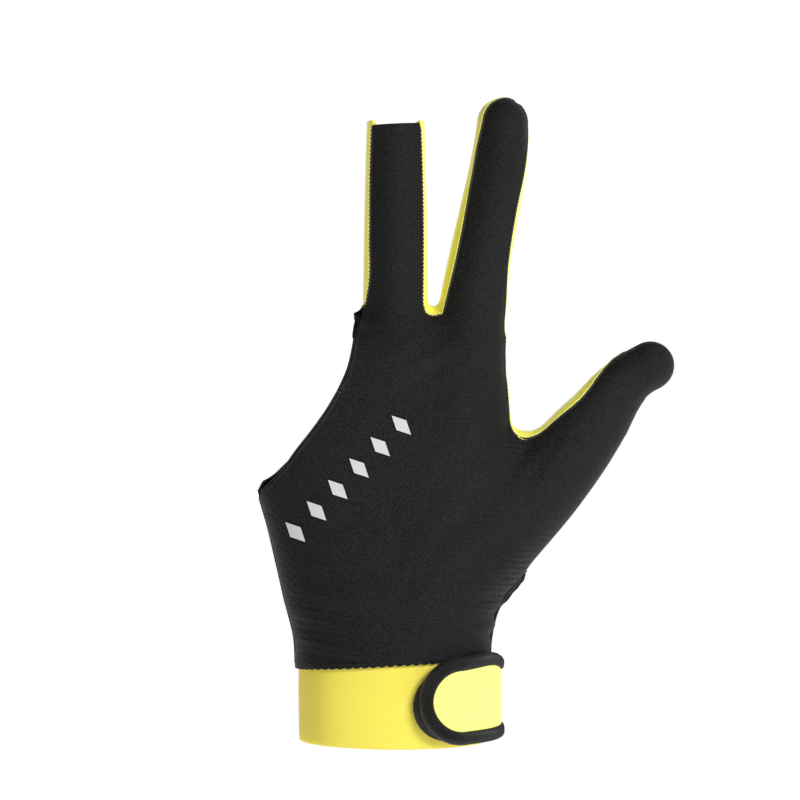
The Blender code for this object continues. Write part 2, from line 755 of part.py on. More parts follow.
def closure(wrap, yellow, black):
    """Strap, its edge binding and the hook patch under its tab."""
    lift = STRAP_CLEARANCE + BINDING_LEG + BINDING_GAP
    inner_edge = strap_edge(BINDING_LEG + BINDING_GAP)
    half = len(inner_edge) // 2
    rings = []
    for (u0, z0), (u1, z1) in zip(inner_edge[:half], inner_edge[::-1][:half]):
        z = [z0, (z0 * 2 + z1) / 3, (z0 + z1 * 2) / 3, z1]
        u = [u0, (u0 * 2 + u1) / 3, (u0 + u1 * 2) / 3, u1]
        lifts = [lift] * 4 + [lift + STRAP_THICKNESS] * 4
        rings.append(wrap.place(u + u[::-1], z + z[::-1], lifts))
    add_swept("closure_strap", rings, yellow)
    low = STRAP_CLEARANCE
    high = low + STRAP_THICKNESS + 2 * (BINDING_LEG + BINDING_GAP)
    rings = []
    edges = [strap_edge(s) for s in (0.0, BINDING_LEG, BINDING_WIDTH)]
    for rim, wall, lip in zip(*edges):
        section = (
            (lip, low),
            (rim, low),
            (rim, high),
            (lip, high),
            (lip, high - BINDING_LEG),
            (wall, high - BINDING_LEG),
            (wall, low + BINDING_LEG),
            (lip, low + BINDING_LEG),
        )
        u = [at[0] for at, _ in section]
        z = [at[1] for at, _ in section]
        rings.append(wrap.place(u, z, [h for _, h in section]))
    add_swept("strap_binding", rings, black)
    hook_top = -(CLOTH + BAND_CLEARANCE) + BINDING_GAP + HOOK_THICKNESS
    middle, _ = strap_frame(1.0)
    end = STRAP_REACH + HOOK_PEEK
    half = HOOK_WIDTH / 2
    rings = []
    for turn in np.linspace(0, math.pi / 2, 15):
        u = end - HOOK_LENGTH * (1 - math.sin(turn))
        reach = half * math.sqrt(max(0.04, 1 - max(0.0, 1 + (u - end) / half) ** 2))
        z = [middle + reach * s for s in (-1, -0.33, 0.33, 1)]
        rings.append(wrap.place(u, z + z[::-1], [hook_top - HOOK_THICKNESS] * 4 + [hook_top] * 4))
    add_swept("hook_patch", rings, black)


def main():
    for item in list(bpy.data.objects):
        bpy.data.objects.remove(item)
    black = material("black_knit", (0.010, 0.010, 0.011), 0.75)
    yellow = material("yellow_knit", (0.86, 0.84, 0.16), 0.7)
    band = material("yellow_neoprene", (0.86, 0.82, 0.18), 0.75)
    tape = material("black_tape", (0.012, 0.012, 0.012), 0.6)
    skin_panels(black, yellow)
    wrap = WristWrap()
    wristband(wrap, band)
    closure(wrap, band, tape)


main()
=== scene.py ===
"""Looks of the worn billiard glove: knit panels, gussets, wristband, closure, stitching and print."""

import logging
import math
from dataclasses import dataclass, field
from enum import Enum
from typing import Callable

import bpy
import numpy as np
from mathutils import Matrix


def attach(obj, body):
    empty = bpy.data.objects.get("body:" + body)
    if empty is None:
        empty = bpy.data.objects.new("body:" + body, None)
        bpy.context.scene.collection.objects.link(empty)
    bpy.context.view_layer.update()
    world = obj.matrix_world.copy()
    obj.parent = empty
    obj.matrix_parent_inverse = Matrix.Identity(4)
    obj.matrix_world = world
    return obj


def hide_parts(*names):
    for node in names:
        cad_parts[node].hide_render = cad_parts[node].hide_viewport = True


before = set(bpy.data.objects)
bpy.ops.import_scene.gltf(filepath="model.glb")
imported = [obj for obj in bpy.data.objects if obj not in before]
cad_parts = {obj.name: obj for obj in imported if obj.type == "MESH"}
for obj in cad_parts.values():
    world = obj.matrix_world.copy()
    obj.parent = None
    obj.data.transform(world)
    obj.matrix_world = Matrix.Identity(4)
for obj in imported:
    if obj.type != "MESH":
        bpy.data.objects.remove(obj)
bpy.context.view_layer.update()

LOG = logging.getLogger("glove")
TINY = 1e-9
GUSSETS = ("middle_outer_gusset", "middle_index_gusset", "index_thumb_gusset")

Rows = tuple[tuple[float, ...], ...]
Field = Callable[[np.ndarray], np.ndarray]


class Side(Enum):
    """Side of the hand's middle plane."""

    BACK = -1.0
    PALM = 1.0


def rows_at(rows: Rows, share: np.ndarray, column: int) -> np.ndarray:
    """Smooth curve through one column of a table, flat beyond its ends.

    Args:
        rows: table whose first column rises.
        share: places along the first column.
        column: the column that is read.

    Returns:
        The column's value at each place.
    """
    table = np.array(rows)
    x, y = table[:, 0], table[:, column]
    slope = np.gradient(y, x)
    share = np.clip(share, x[0], x[-1])
    i = np.clip(np.searchsorted(x, share) - 1, 0, len(x) - 2)
    h = x[i + 1] - x[i]
    t = (share - x[i]) / h
    return (
        (1 + 2 * t) * (1 - t) ** 2 * y[i]
        + t * (1 - t) ** 2 * h * slope[i]
        + t * t * (3 - 2 * t) * y[i + 1]
        + t * t * (t - 1) * h * slope[i + 1]
    )


def smooth_max(a: np.ndarray, b: np.ndarray, blend: float) -> np.ndarray:
    """Larger of two fields of squared lengths, rounded within the blend length."""
    k = blend * blend
    h = np.maximum(k - np.abs(a - b), 0) / k
    return np.maximum(a, b) + h * h * k / 4


def nearest_on(
    path: np.ndarray, values: np.ndarray, x: np.ndarray, z: np.ndarray
) -> tuple[np.ndarray, np.ndarray]:
    """Distance to a path in the XZ plane and a value read where it is nearest.

    Args:
        path: points of the path.
        values: a value at each of them.
        x: sideways places.
        z: heights.

    Returns:
        Distance and value at each place.
    """
    best, found = np.full(x.shape, np.inf), np.zeros(x.shape)
    for (x0, z0), (x1, z1), v0, v1 in zip(path, path[1:], values, values[1:]):
        dx, dz = x1 - x0, z1 - z0
        t = np.clip(((x - x0) * dx + (z - z0) * dz) / (dx * dx + dz * dz), 0, 1)
        d = (x - x0 - t * dx) ** 2 + (z - z0 - t * dz) ** 2
        nearer = d < best
        best = np.where(nearer, d, best)
        found = np.where(nearer, v0 + t * (v1 - v0), found)
    return np.sqrt(best), found


@dataclass(frozen=True)
class Limb:
    """A finger or thumb: its start on the palm (shares and degrees), rows, length and width."""

    start: tuple[float, float, float]
    rows: Rows
    length: float
    width: float


@dataclass(frozen=True)
class Hand:
    """The form that the cloth follows, the same as in the solid model."""

    wrist_width: float = 0.0610
    wrist_depth: float = 0.0420
    palm_width: float = 0.0830
    palm_depth: float = 0.0290
    palm_length: float = 0.1110
    band_height: float = 0.0262
    depth_share: float = 0.88
    seam_rise: float = 0.0015
    seam_tilt: float = 0.057
    curl: float = 0.0050
    swing: float = 0.0090
    web_blend: float = 0.0085
    thumb_blend: float = 0.0165
    palm_rows: Rows = (
        (-0.27, -0.396, 0.345, 1.42),
        (-0.05, -0.396, 0.343, 1.42),
        (0.08, -0.400, 0.346, 1.36),
        (0.18, -0.432, 0.375, 1.30),
        (0.28, -0.461, 0.400, 1.24),
        (0.38, -0.492, 0.415, 1.19),
        (0.49, -0.533, 0.425, 1.14),
        (0.60, -0.560, 0.425, 1.08),
        (0.75, -0.600, 0.405, 0.98),
        (0.82, -0.620, 0.392, 0.90),
        (0.88, -0.630, 0.376, 0.79),
        (0.93, -0.640, 0.364, 0.64),
        (0.972, -0.640, 0.355, 0.42),
        (1.007, -0.640, 0.345, -0.40),
        (1.20, -0.640, 0.340, -1.60),
    )
    middle: Limb = Limb(
        (-0.0155, 0.870, 0.0),
        ((0.00, 0.000, 1.04), (0.30, -0.001, 1.01), (0.62, -0.001, 0.97), (1.00, -0.001, 0.88)),
        0.0800,
        0.0199,
    )
    index: Limb = Limb(
        (0.245, 0.870, 9.0),
        (
            (0.00, 0.000, 1.08),
            (0.20, -0.003, 1.06),
            (0.40, -0.004, 0.99),
            (0.63, 0.006, 0.94),
            (0.81, 0.012, 0.895),
            (0.95, 0.005, 0.83),
            (1.00, 0.000, 0.80),
        ),
        0.0725,
        0.0196,
    )
    thumb: Limb = Limb(
        (0.362, 0.330, 37.5),
        (
            (0.00, 0.000, 0.98),
            (0.37, 0.006, 1.03),
            (0.58, 0.007, 0.97),
            (0.69, 0.010, 0.875),
            (0.83, 0.006, 0.74),
            (0.94, 0.024, 0.64),
            (1.00, 0.050, 0.635),
        ),
        0.0735,
        0.0240,
    )
    palm_swells: Rows = (
        (0.270, 0.330, 0.26, 0.42),
        (-0.300, 0.300, 0.26, 0.22),
        (0.000, 0.560, 0.22, -0.12),
        (0.040, 0.860, 0.20, 0.10),
    )
    back_swells: Rows = (
        (0.270, 0.840, 0.14, 0.10),
        (-0.010, 0.860, 0.14, 0.10),
        (0.240, 0.640, 0.13, 0.08),
        (0.125, 0.800, 0.10, -0.10),
        (0.330, 0.330, 0.20, 0.10),
    )

    def seam_height(self, x: np.ndarray) -> np.ndarray:
        """Height of the panels' lower edge, which rises towards the thumb side."""
        return self.band_height + self.seam_rise + self.seam_tilt * x

    def place(self, side: float, height: float) -> tuple[float, float]:
        """Point in the XZ plane from shares of the palm's width and length."""
        return side * self.palm_width, self.band_height + height * self.palm_length

    def axis(self, limb: Limb, parts: int = 20) -> tuple[np.ndarray, np.ndarray]:
        """Centre line of a limb in the XZ plane and the share at each point."""
        share = np.linspace(0, 1, parts + 1)
        lean = math.radians(limb.start[2])
        along = np.array([math.sin(lean), math.cos(lean)])
        across = np.array([math.cos(lean), -math.sin(lean)])
        drift = rows_at(limb.rows, share, 1)
        base = np.array(self.place(*limb.start[:2]))
        return base + limb.length * (share[:, None] * along + drift[:, None] * across), share

    def limb_field(self, limb: Limb, x: np.ndarray, z: np.ndarray) -> np.ndarray:
        """Squared half-depth of a limb, negative outside its outline."""
        path, share = self.axis(limb)
        distance, at = nearest_on(path, share, x, z)
        half = rows_at(limb.rows, at, 2) * limb.width / 2
        return (self.depth_share * half) ** 2 * (1 - (distance / half) ** 2)

    def palm_field(self, x: np.ndarray, z: np.ndarray) -> np.ndarray:
        """Squared half-depth of palm and wrist, negative outside their outline."""
        share = (z - self.band_height) / self.palm_length
        left = rows_at(self.palm_rows, share, 1) * self.palm_width
        right = rows_at(self.palm_rows, share, 2) * self.palm_width
        depth = rows_at(self.palm_rows, share, 3) * self.palm_depth / 2
        wrist = np.clip(1 - (z - self.band_height) / (0.3 * self.palm_length), 0, 1)
        depth = depth * (1 + wrist * (self.wrist_depth / (1.42 * self.palm_depth) - 1))
        narrow = 1 + wrist * (self.wrist_width / (0.743 * self.palm_width) - 1)
        middle, half = (left + right) / 2, (right - left) / 2 * narrow
        across = np.abs((x - middle) / half) ** (2.9 - 0.5 * wrist)
        side = np.maximum(depth, 0.7 * self.palm_depth / 2)
        return depth * np.abs(depth) - side * side * across

    def depth_squared(self, x: np.ndarray, z: np.ndarray) -> np.ndarray:
        """Squared half-depth of the whole form, negative outside its outline."""
        form = smooth_max(self.palm_field(x, z), self.limb_field(self.middle, x, z), self.web_blend)
        form = smooth_max(form, self.limb_field(self.index, x, z), self.web_blend)
        return smooth_max(form, self.limb_field(self.thumb, x, z), self.thumb_blend)

    def plane(self, x: np.ndarray, z: np.ndarray) -> np.ndarray:
        """Y of the form's middle: fingers curl and the thumb swings to the palm."""
        knuckles = self.band_height + self.palm_length
        up = np.clip((z - knuckles) / self.middle.length, 0, None)
        out = np.clip((x - 0.2 * self.palm_width) / (0.8 * self.palm_width), 0, 1)
        low = np.clip((knuckles - z) / (0.35 * self.palm_length), 0, 1)
        return self.curl * up * up + self.swing * out * out * (3 - 2 * out) * low * low * (3 - 2 * low)

    def swells(self, side: Side) -> Rows:
        """Mounds and hollows of one side."""
        return self.back_swells if side is Side.BACK else self.palm_swells

    def swell(self, rows: Rows, x: np.ndarray, z: np.ndarray) -> np.ndarray:
        """Factor by which mounds and hollows raise one side of the form."""
        total = np.ones(x.shape)
        for side, height, reach, rise in rows:
            px, pz = self.place(side, height)
            squared = ((x - px) ** 2 + (z - pz) ** 2) / (reach * self.palm_width) ** 2
            total = total + rise * np.exp(-squared)
        return total

    def value(self, p: np.ndarray) -> np.ndarray:
        """Positive inside the form, zero on its skin."""
        x, y, z = p[..., 0], p[..., 1], p[..., 2]
        off = y - self.plane(x, z)
        side = np.where(off > 0, self.swell(self.palm_swells, x, z), self.swell(self.back_swells, x, z))
        return self.depth_squared(x, z) - (off / side) ** 2

    def on_grid(self, axes: list[np.ndarray]) -> np.ndarray:
        """Values on a grid, worked out once for each column along Y."""
        x, z = np.meshgrid(axes[0], axes[2], indexing="ij")
        squared, middle = self.depth_squared(x, z), self.plane(x, z)
        palm, back = self.swell(self.palm_swells, x, z), self.swell(self.back_swells, x, z)
        off = axes[1][None, :, None] - middle[:, None, :]
        side = np.where(off > 0, palm[:, None, :], back[:, None, :])
        return squared[:, None, :] - (off / side) ** 2

    def gradient(self, p: np.ndarray, h: float = 0.0002) -> np.ndarray:
        """Central differences of the form's value."""
        steps = np.eye(3) * h
        return np.stack([(self.value(p + s) - self.value(p - s)) / (2 * h) for s in steps], axis=-1)

    def onto_skin(self, p: np.ndarray, rounds: int = 3) -> np.ndarray:
        """Move points to the skin along the gradient."""
        for _ in range(rounds):
            g = self.gradient(p)
            p = p - (self.value(p) / np.maximum((g * g).sum(-1), TINY))[..., None] * g
        return p

    def outward(self, p: np.ndarray) -> np.ndarray:
        """Unit normals of the skin, out of the hand."""
        g = -self.gradient(p)
        return g / np.maximum(np.linalg.norm(g, axis=-1), TINY)[..., None]

    def off_plane(self, p: np.ndarray) -> np.ndarray:
        """Distance of points from the middle plane, positive towards the palm."""
        return p[:, 1] - self.plane(p[:, 0], p[:, 2])

    def ring(self, centre: tuple[float, float], turn: np.ndarray, z: np.ndarray, reach: float) -> np.ndarray:
        """Points of the skin in directions round a centre, 0 at the thumb side."""
        low, high = np.full(len(turn), 0.1 * reach), np.full(len(turn), reach)
        for _ in range(26):
            r = (low + high) / 2
            p = np.stack([centre[0] + r * np.cos(turn), centre[1] - r * np.sin(turn), z], axis=1)
            inside = self.value(p) > 0
            low, high = np.where(inside, r, low), np.where(inside, high, r)
        return p


@dataclass
class Net:
    """A triangle mesh on the skin."""

    points: np.ndarray
    triangles: np.ndarray

    def edges(self) -> np.ndarray:
        """Directed edges of all triangles."""
        t = self.triangles
        return np.concatenate([t[:, [0, 1]], t[:, [1, 2]], t[:, [2, 0]]])

    def rim(self) -> np.ndarray:
        """Directed edges that only one triangle has."""
        edges, size = self.edges(), len(self.points)
        forward, backward = edges[:, 0] * size + edges[:, 1], edges[:, 1] * size + edges[:, 0]
        return edges[~np.isin(backward, forward)]

    def relaxed(self, hand: Hand, rounds: int = 2) -> "Net":
        """The closed net evened out while it stays on the skin."""
        pairs, points = self.edges(), self.points
        for _ in range(rounds):
            total, count = np.zeros(points.shape), np.zeros(len(points))
            np.add.at(total, pairs[:, 0], points[pairs[:, 1]])
            np.add.at(count, pairs[:, 0], 1)
            mean = np.where(count[:, None] > 0, total / np.maximum(count, 1)[:, None], points)
            points = hand.onto_skin(0.5 * (points + mean), 1)
        return Net(points, self.triangles)

    def kept(self, hand: Hand, where: Field, snap: float = 0.3) -> "Net":
        """The part where a field of the points is positive, cut along its zero.

        Args:
            hand: the form whose skin the net lies on.
            where: the field.
            snap: share of an edge within which a point moves onto the cut.

        Returns:
            The part that is kept.
        """
        value = where(self.points)
        edges = np.unique(np.sort(self.edges(), 1), axis=0)
        a, b = edges[:, 0], edges[:, 1]
        cut = (value[a] > 0) != (value[b] > 0)
        a, b = a[cut], b[cut]
        t = value[a] / (value[a] - value[b])
        points = self.points.copy()
        near, far, way = np.concatenate([a, b]), np.concatenate([b, a]), np.concatenate([t, 1 - t])
        order = np.argsort(-way, kind="stable")
        order = order[way[order] < snap]
        near, far, way = near[order], far[order], way[order]
        points[near] = self.points[near] + way[:, None] * (self.points[far] - self.points[near])
        value = value.copy()
        value[near] = 0.0
        v = value[self.triangles]
        whole = (v >= 0).all(1) & (v > 0).any(1)
        mixed = (v > 0).any(1) & (v < 0).any(1)
        made, corners, out = [], {}, []
        for triangle in self.triangles[mixed].tolist():
            ring = []
            for p, q in zip(triangle, triangle[1:] + triangle[:1]):
                if value[p] >= 0:
                    ring.append(p)
                if value[p] * value[q] < 0:
                    key = (min(p, q), max(p, q))
                    if key not in corners:
                        s = value[key[0]] / (value[key[0]] - value[key[1]])
                        corners[key] = len(points) + len(made)
                        made.append(points[key[0]] + s * (points[key[1]] - points[key[0]]))
                    ring.append(corners[key])
            out += [(ring[0], ring[i], ring[i + 1]) for i in range(1, len(ring) - 1)]
        points = np.concatenate([points, np.array(made).reshape(-1, 3)])
        faces = np.concatenate([self.triangles[whole], np.array(out, int).reshape(-1, 3)])
        used, faces = np.unique(faces, return_inverse=True)
        return Net(hand.onto_skin(points[used], 1), faces.reshape(-1, 3))

    def largest(self) -> "Net":
        """The connected part with the most triangles, without corner-to-corner pinches."""
        label = np.arange(len(self.points))
        while True:
            low = label[self.triangles].min(1)
            before = label.copy()
            for i in range(3):
                np.minimum.at(label, self.triangles[:, i], low)
            label = label[label]
            if (label == before).all():
                break
        owner = label[self.triangles[:, 0]]
        part = Net(self.points, self.triangles[owner == np.bincount(owner).argmax()])
        pinched = np.bincount(part.rim()[:, 0], minlength=len(part.points)) > 1
        while pinched.any():
            part = Net(part.points, part.triangles[~pinched[part.triangles].any(1)])
            pinched = np.bincount(part.rim()[:, 0], minlength=len(part.points)) > 1
        used, faces = np.unique(part.triangles, return_inverse=True)
        return Net(part.points[used], faces.reshape(-1, 3))


def skin_net(hand: Hand, step: float) -> Net:
    """Net of the form's skin from a grid of cells.

    Args:
        hand: the form.
        step: size of a cell.

    Returns:
        The net, before any cut.
    """
    top = hand.band_height + hand.palm_length + hand.middle.length
    low = np.array([-0.66 * hand.palm_width, -0.95 * hand.palm_depth, hand.band_height - 3 * step])
    high = np.array([1.10 * hand.palm_width, 1.25 * hand.palm_depth, top])
    count = np.ceil((high - low) / step).astype(int) + 1
    value = hand.on_grid([low[i] + step * np.arange(count[i]) for i in range(3)])
    total, crossed = np.zeros(tuple(count - 1) + (3,)), np.zeros(tuple(count - 1))
    quads = []
    for axis in range(3):
        others = [(axis + 1) % 3, (axis + 2) % 3]
        first, second = [slice(None)] * 3, [slice(None)] * 3
        first[axis], second[axis] = slice(0, -1), slice(1, None)
        a, b = value[tuple(first)], value[tuple(second)]
        cut = (a > 0) != (b > 0)
        t = np.where(cut, a / np.where(cut, a - b, 1), 0)
        for i, j in ((0, 0), (0, 1), (1, 0), (1, 1)):
            part = [slice(None)] * 3
            part[others[0]] = slice(i, count[others[0]] - 1 + i)
            part[others[1]] = slice(j, count[others[1]] - 1 + j)
            here = cut[tuple(part)]
            total[..., axis] += np.where(here, t[tuple(part)], 0)
            total[..., others[0]] += i * here
            total[..., others[1]] += j * here
            crossed += here
        edge = np.argwhere(cut)
        inner = (edge[:, others] > 0).all(1) & (edge[:, others] < count[others] - 1).all(1)
        quads.append((axis, others, edge[inner], (a > 0)[tuple(edge[inner].T)]))
    cell = np.argwhere(crossed > 0)
    number = np.full(crossed.shape, -1)
    number[tuple(cell.T)] = np.arange(len(cell))
    at = tuple(cell.T)
    points = hand.onto_skin(low + step * (cell + total[at] / crossed[at][:, None]))
    faces = []
    for axis, (u, v), edge, leaving in quads:
        ring = []
        for du, dv in ((1, 1), (0, 1), (0, 0), (1, 0)):
            c = edge.copy()
            c[:, u] -= du
            c[:, v] -= dv
            ring.append(number[tuple(c.T)])
        quad = np.stack(ring, axis=1)
        faces.append(np.where(leaving[:, None], quad, quad[:, ::-1]))
    quad = np.concatenate(faces)
    return Net(points, np.concatenate([quad[:, [0, 1, 2]], quad[:, [0, 2, 3]]]))


def add_mesh(name: str, points: np.ndarray, faces: list[tuple[int, ...]], smooth: float = 50) -> bpy.types.Object:
    """Link a smooth-shaded object.

    Args:
        name: the piece's name.
        points: its points.
        faces: its faces.
        smooth: angle in degrees above which an edge stays sharp.

    Returns:
        The object.
    """
    mesh = bpy.data.meshes.new(name)
    mesh.from_pydata(np.asarray(points, float).tolist(), [], [tuple(map(int, f)) for f in faces])
    mesh.shade_smooth()
    mesh.set_sharp_from_angle(angle=math.radians(smooth))
    piece = bpy.data.objects.new(name, mesh)
    bpy.context.scene.collection.objects.link(piece)
    return piece


def sweep_faces(count: int, size: int, closed: bool = False, first: int = 0) -> list[tuple[int, ...]]:
    """Faces of a row of equal rings, capped at the ends unless the row closes.

    Args:
        count: number of rings.
        size: points in a ring.
        closed: whether the last ring joins the first.
        first: number of the first point.

    Returns:
        The faces.
    """
    faces = []
    for i in range(count if closed else count - 1):
        k = (i + 1) % count
        for j in range(size):
            n = (j + 1) % size
            faces.append((first + i * size + j, first + i * size + n, first + k * size + n, first + k * size + j))
    if not closed:
        faces.append(tuple(first + j for j in range(size - 1, -1, -1)))
        faces.append(tuple(first + (count - 1) * size + j for j in range(size)))
    return faces


def run_along(points: np.ndarray) -> np.ndarray:
    """Length of a line up to each of its points."""
    return np.concatenate([[0], np.cumsum(np.linalg.norm(np.diff(points, axis=0), axis=1))])


def direction(line: np.ndarray) -> np.ndarray:
    """Unit direction of a line at each of its points."""
    along = np.gradient(line, axis=0)
    return along / np.maximum(np.linalg.norm(along, axis=1), TINY)[:, None]


def swept(name: str, rings: list[np.ndarray], smooth: float = 60) -> bpy.types.Object:
    """Closed piece through equal lines that lie side by side round its section."""
    points = np.stack(rings, axis=1).reshape(-1, 3)
    piece = add_mesh(name, points, sweep_faces(len(rings[0]), len(rings)), smooth)
    turn_out(piece)
    return piece


def turn_out(piece: bpy.types.Object) -> None:
    """Point all faces of a closed piece outwards."""
    mesh = piece.data
    mesh.calc_loop_triangles()
    points = np.array([v.co for v in mesh.vertices])
    tri = np.array([t.vertices for t in mesh.loop_triangles])
    volume = (points[tri[:, 0]] * np.cross(points[tri[:, 1]], points[tri[:, 2]])).sum()
    if volume < 0:
        mesh.flip_normals()


def even_out(points: np.ndarray, step: float) -> np.ndarray:
    """The same line with points about a step apart."""
    run = run_along(points)
    at = np.linspace(0, run[-1], max(2, math.ceil(run[-1] / step) + 1))
    return np.stack([np.interp(at, run, points[:, k]) for k in range(points.shape[1])], axis=1)


@dataclass(frozen=True)
class Seams:
    """Where the panels and gussets part on the form's skin."""

    hand: Hand
    gusset_scale: float = 0.0085
    slit_half: float = 0.0014
    reach: float = 0.0090
    middle_cut: float = 0.0710
    outer_rows: Rows = (
        (0.00, 0.56, 0.60),
        (0.30, 0.58, 0.60),
        (0.62, 0.63, 0.60),
        (0.85, 0.60, 0.52),
        (0.95, 0.35, 0.30),
        (1.00, 0.05, 0.05),
    )
    v_rows: Rows = (
        (0.00, 0.50, 0.60),
        (0.36, 0.57, 0.60),
        (0.44, 0.62, 0.66),
        (0.50, 0.67, 0.66),
        (0.58, 0.70, 0.62),
        (0.66, 0.66, 0.60),
        (0.74, 0.57, 0.58),
        (0.82, 0.49, 0.56),
        (0.93, 0.48, 0.50),
        (0.97, 0.26, 0.34),
        (1.00, -0.12, 0.16),
    )
    thumb_rows: Rows = (
        (0.00, -0.14, 0.18),
        (0.03, -0.16, 0.34),
        (0.08, 0.08, 0.50),
        (0.20, 0.44, 0.58),
        (0.36, 0.44, 0.58),
        (0.50, 0.20, 0.60),
        (0.60, 0.14, 0.60),
        (0.68, 0.34, 0.62),
        (0.76, 0.62, 0.62),
        (0.92, 0.50, 0.52),
        (0.98, 0.10, 0.30),
        (1.00, 0.02, 0.02),
    )
    slit_rows: Rows = ((0.0, 0.1, 0.1), (0.35, 1.0, 1.0), (1.0, 1.0, 1.0))
    back_opening: Rows = (
        (0.36, -0.720),
        (0.476, -0.507),
        (0.532, -0.428),
        (0.594, -0.366),
        (0.648, -0.309),
        (0.713, -0.248),
        (0.769, -0.206),
        (0.823, -0.175),
        (0.876, -0.158),
        (0.948, -0.144),
        (1.20, -0.142),
    )
    palm_opening: Rows = (
        (0.36, -0.790),
        (0.484, -0.545),
        (0.504, -0.490),
        (0.548, -0.420),
        (0.594, -0.358),
        (0.648, -0.300),
        (0.713, -0.232),
        (0.769, -0.190),
        (0.823, -0.163),
        (0.876, -0.153),
        (0.908, -0.153),
        (0.948, -0.166),
        (1.20, -0.170),
    )

    def cut_height(self) -> float:
        """Height of the middle finger's open end."""
        return self.hand.place(0, self.hand.middle.start[1])[1] + self.middle_cut

    def limb_side(self, limb: Limb, sign: float, shares: tuple[float, ...]) -> list[tuple[float, float]]:
        """Points on one side of a limb's outline at shares of its length."""
        path, share = self.hand.axis(limb)
        along = np.gradient(path, axis=0)
        along /= np.linalg.norm(along, axis=1)[:, None]
        across = np.stack([along[:, 1], -along[:, 0]], axis=1)
        side = path + sign * (rows_at(limb.rows, share, 2) * limb.width / 2)[:, None] * across
        return [(np.interp(s, share, side[:, 0]), np.interp(s, share, side[:, 1])) for s in shares]

    def limb_tip(self, limb: Limb, turn: float) -> tuple[float, float]:
        """Point on a limb's round tip, turned in degrees towards the thumb side."""
        path, _ = self.hand.axis(limb)
        angle = math.radians(limb.start[2] + turn)
        return tuple(path[-1] + limb.rows[-1][2] * limb.width / 2 * np.array([math.sin(angle), math.cos(angle)]))

    def paths(self) -> tuple[tuple[list, Rows, float], ...]:
        """Outline stretches where the seams part, each with its rows and scale."""
        hand, place = self.hand, self.hand.place
        outer = self.limb_side(hand.middle, -1, (1.0, 0.8, 0.6, 0.4, 0.2, 0.11))
        v_strip = self.limb_side(hand.middle, 1, (1.0, 0.7, 0.45, 0.28)) + [place(0.137, 0.983)]
        v_strip += self.limb_side(hand.index, -1, (0.32, 0.45, 0.6, 0.75, 0.9, 1.0))
        v_strip += [self.limb_tip(hand.index, turn) for turn in (-70, -50, -30, -10, 8, 25)]
        thumb = [self.limb_tip(hand.index, turn) for turn in (30, 60)]
        thumb += self.limb_side(hand.index, 1, (1.0, 0.8, 0.6, 0.4, 0.2, 0.02))
        thumb += [place(0.400, 0.735), place(0.440, 0.690), place(0.485, 0.669), place(0.535, 0.685)]
        thumb += self.limb_side(hand.thumb, -1, (0.62, 0.74, 0.86, 0.95))
        slit = [place(0.490, 0.255), place(0.440, 0.19), place(0.37, 0.10), place(0.343, 0.0), place(0.343, -0.2)]
        return (
            (outer, self.outer_rows, self.gusset_scale),
            (v_strip, self.v_rows, self.gusset_scale),
            (thumb, self.thumb_rows, self.gusset_scale),
            (slit, self.slit_rows, self.slit_half),
        )

    def reaches(self, p: np.ndarray) -> tuple[np.ndarray, np.ndarray, np.ndarray]:
        """Reaches of the seams to back and palm at points, and the nearest stretch."""
        best = np.full(len(p), np.inf)
        back, palm, owner = np.zeros(len(p)), np.zeros(len(p)), np.zeros(len(p), int)
        for i, (path, rows, scale) in enumerate(self.paths()):
            path = np.array(path)
            run = run_along(path)
            distance, share = nearest_on(path, run / run[-1], p[:, 0], p[:, 2])
            nearer = distance < best
            best = np.where(nearer, distance, best)
            owner = np.where(nearer, i, owner)
            fade = scale * np.clip(3 * (1 - distance / self.reach), 0, 1)
            back = np.where(nearer, rows_at(rows, share, 1) * fade, back)
            palm = np.where(nearer, rows_at(rows, share, 2) * fade, palm)
        return back, palm, owner

    def curve(self, which: int, side: Side, step: float = 0.0006) -> np.ndarray:
        """Line on the skin along one seam of a stretch."""
        path, rows, scale = self.paths()[which]
        line = even_out(np.array(path), step)
        for _ in range(8):
            line[1:-1] = 0.5 * line[1:-1] + 0.25 * (line[:-2] + line[2:])
        share = np.linspace(0, 1, len(line))
        column = 1 if side is Side.BACK else 2
        high = side.value * np.maximum(rows_at(rows, share, column) * scale, 0.0001)
        h = 0.0002
        swells = self.hand.swells(side)
        for turn in range(16):
            x, z = line[:, 0], line[:, 1]
            wanted = (high / self.hand.swell(swells, x, z)) ** 2
            miss = self.hand.depth_squared(x, z) - wanted
            gx = (self.hand.depth_squared(x + h, z) - self.hand.depth_squared(x - h, z)) / (2 * h)
            gz = (self.hand.depth_squared(x, z + h) - self.hand.depth_squared(x, z - h)) / (2 * h)
            size = np.maximum(gx * gx + gz * gz, TINY)
            move = np.stack([miss * gx / size, miss * gz / size], axis=1)
            length = np.linalg.norm(move, axis=1)[:, None]
            line = line - move * np.minimum(1, 0.001 / np.maximum(length, TINY))
            if turn % 4 == 3 and turn < 15:
                both = even_out(np.concatenate([line, high[:, None]], axis=1), step)
                line, high = both[:, :2], both[:, 2]
        y = self.hand.plane(line[:, 0], line[:, 1]) + high
        return even_out(np.stack([line[:, 0], y, line[:, 1]], axis=1), step)

    def opening_rows(self, side: Side) -> Rows:
        """Table of one opening's edge."""
        return self.back_opening if side is Side.BACK else self.palm_opening

    def opening(self, side: Side) -> Field:
        """Field that is positive on the thumb side of an opening's edge."""
        rows = self.opening_rows(side)

        def where(p: np.ndarray) -> np.ndarray:
            """Distance from the edge."""
            share = (p[:, 2] - self.hand.band_height) / self.hand.palm_length
            h = 0.005
            slope = (rows_at(rows, share + h, 1) - rows_at(rows, share - h, 1)) * self.hand.palm_width
            off = p[:, 0] - rows_at(rows, share, 1) * self.hand.palm_width
            return off / np.sqrt(1 + (slope / (2 * h * self.hand.palm_length)) ** 2)

        return where

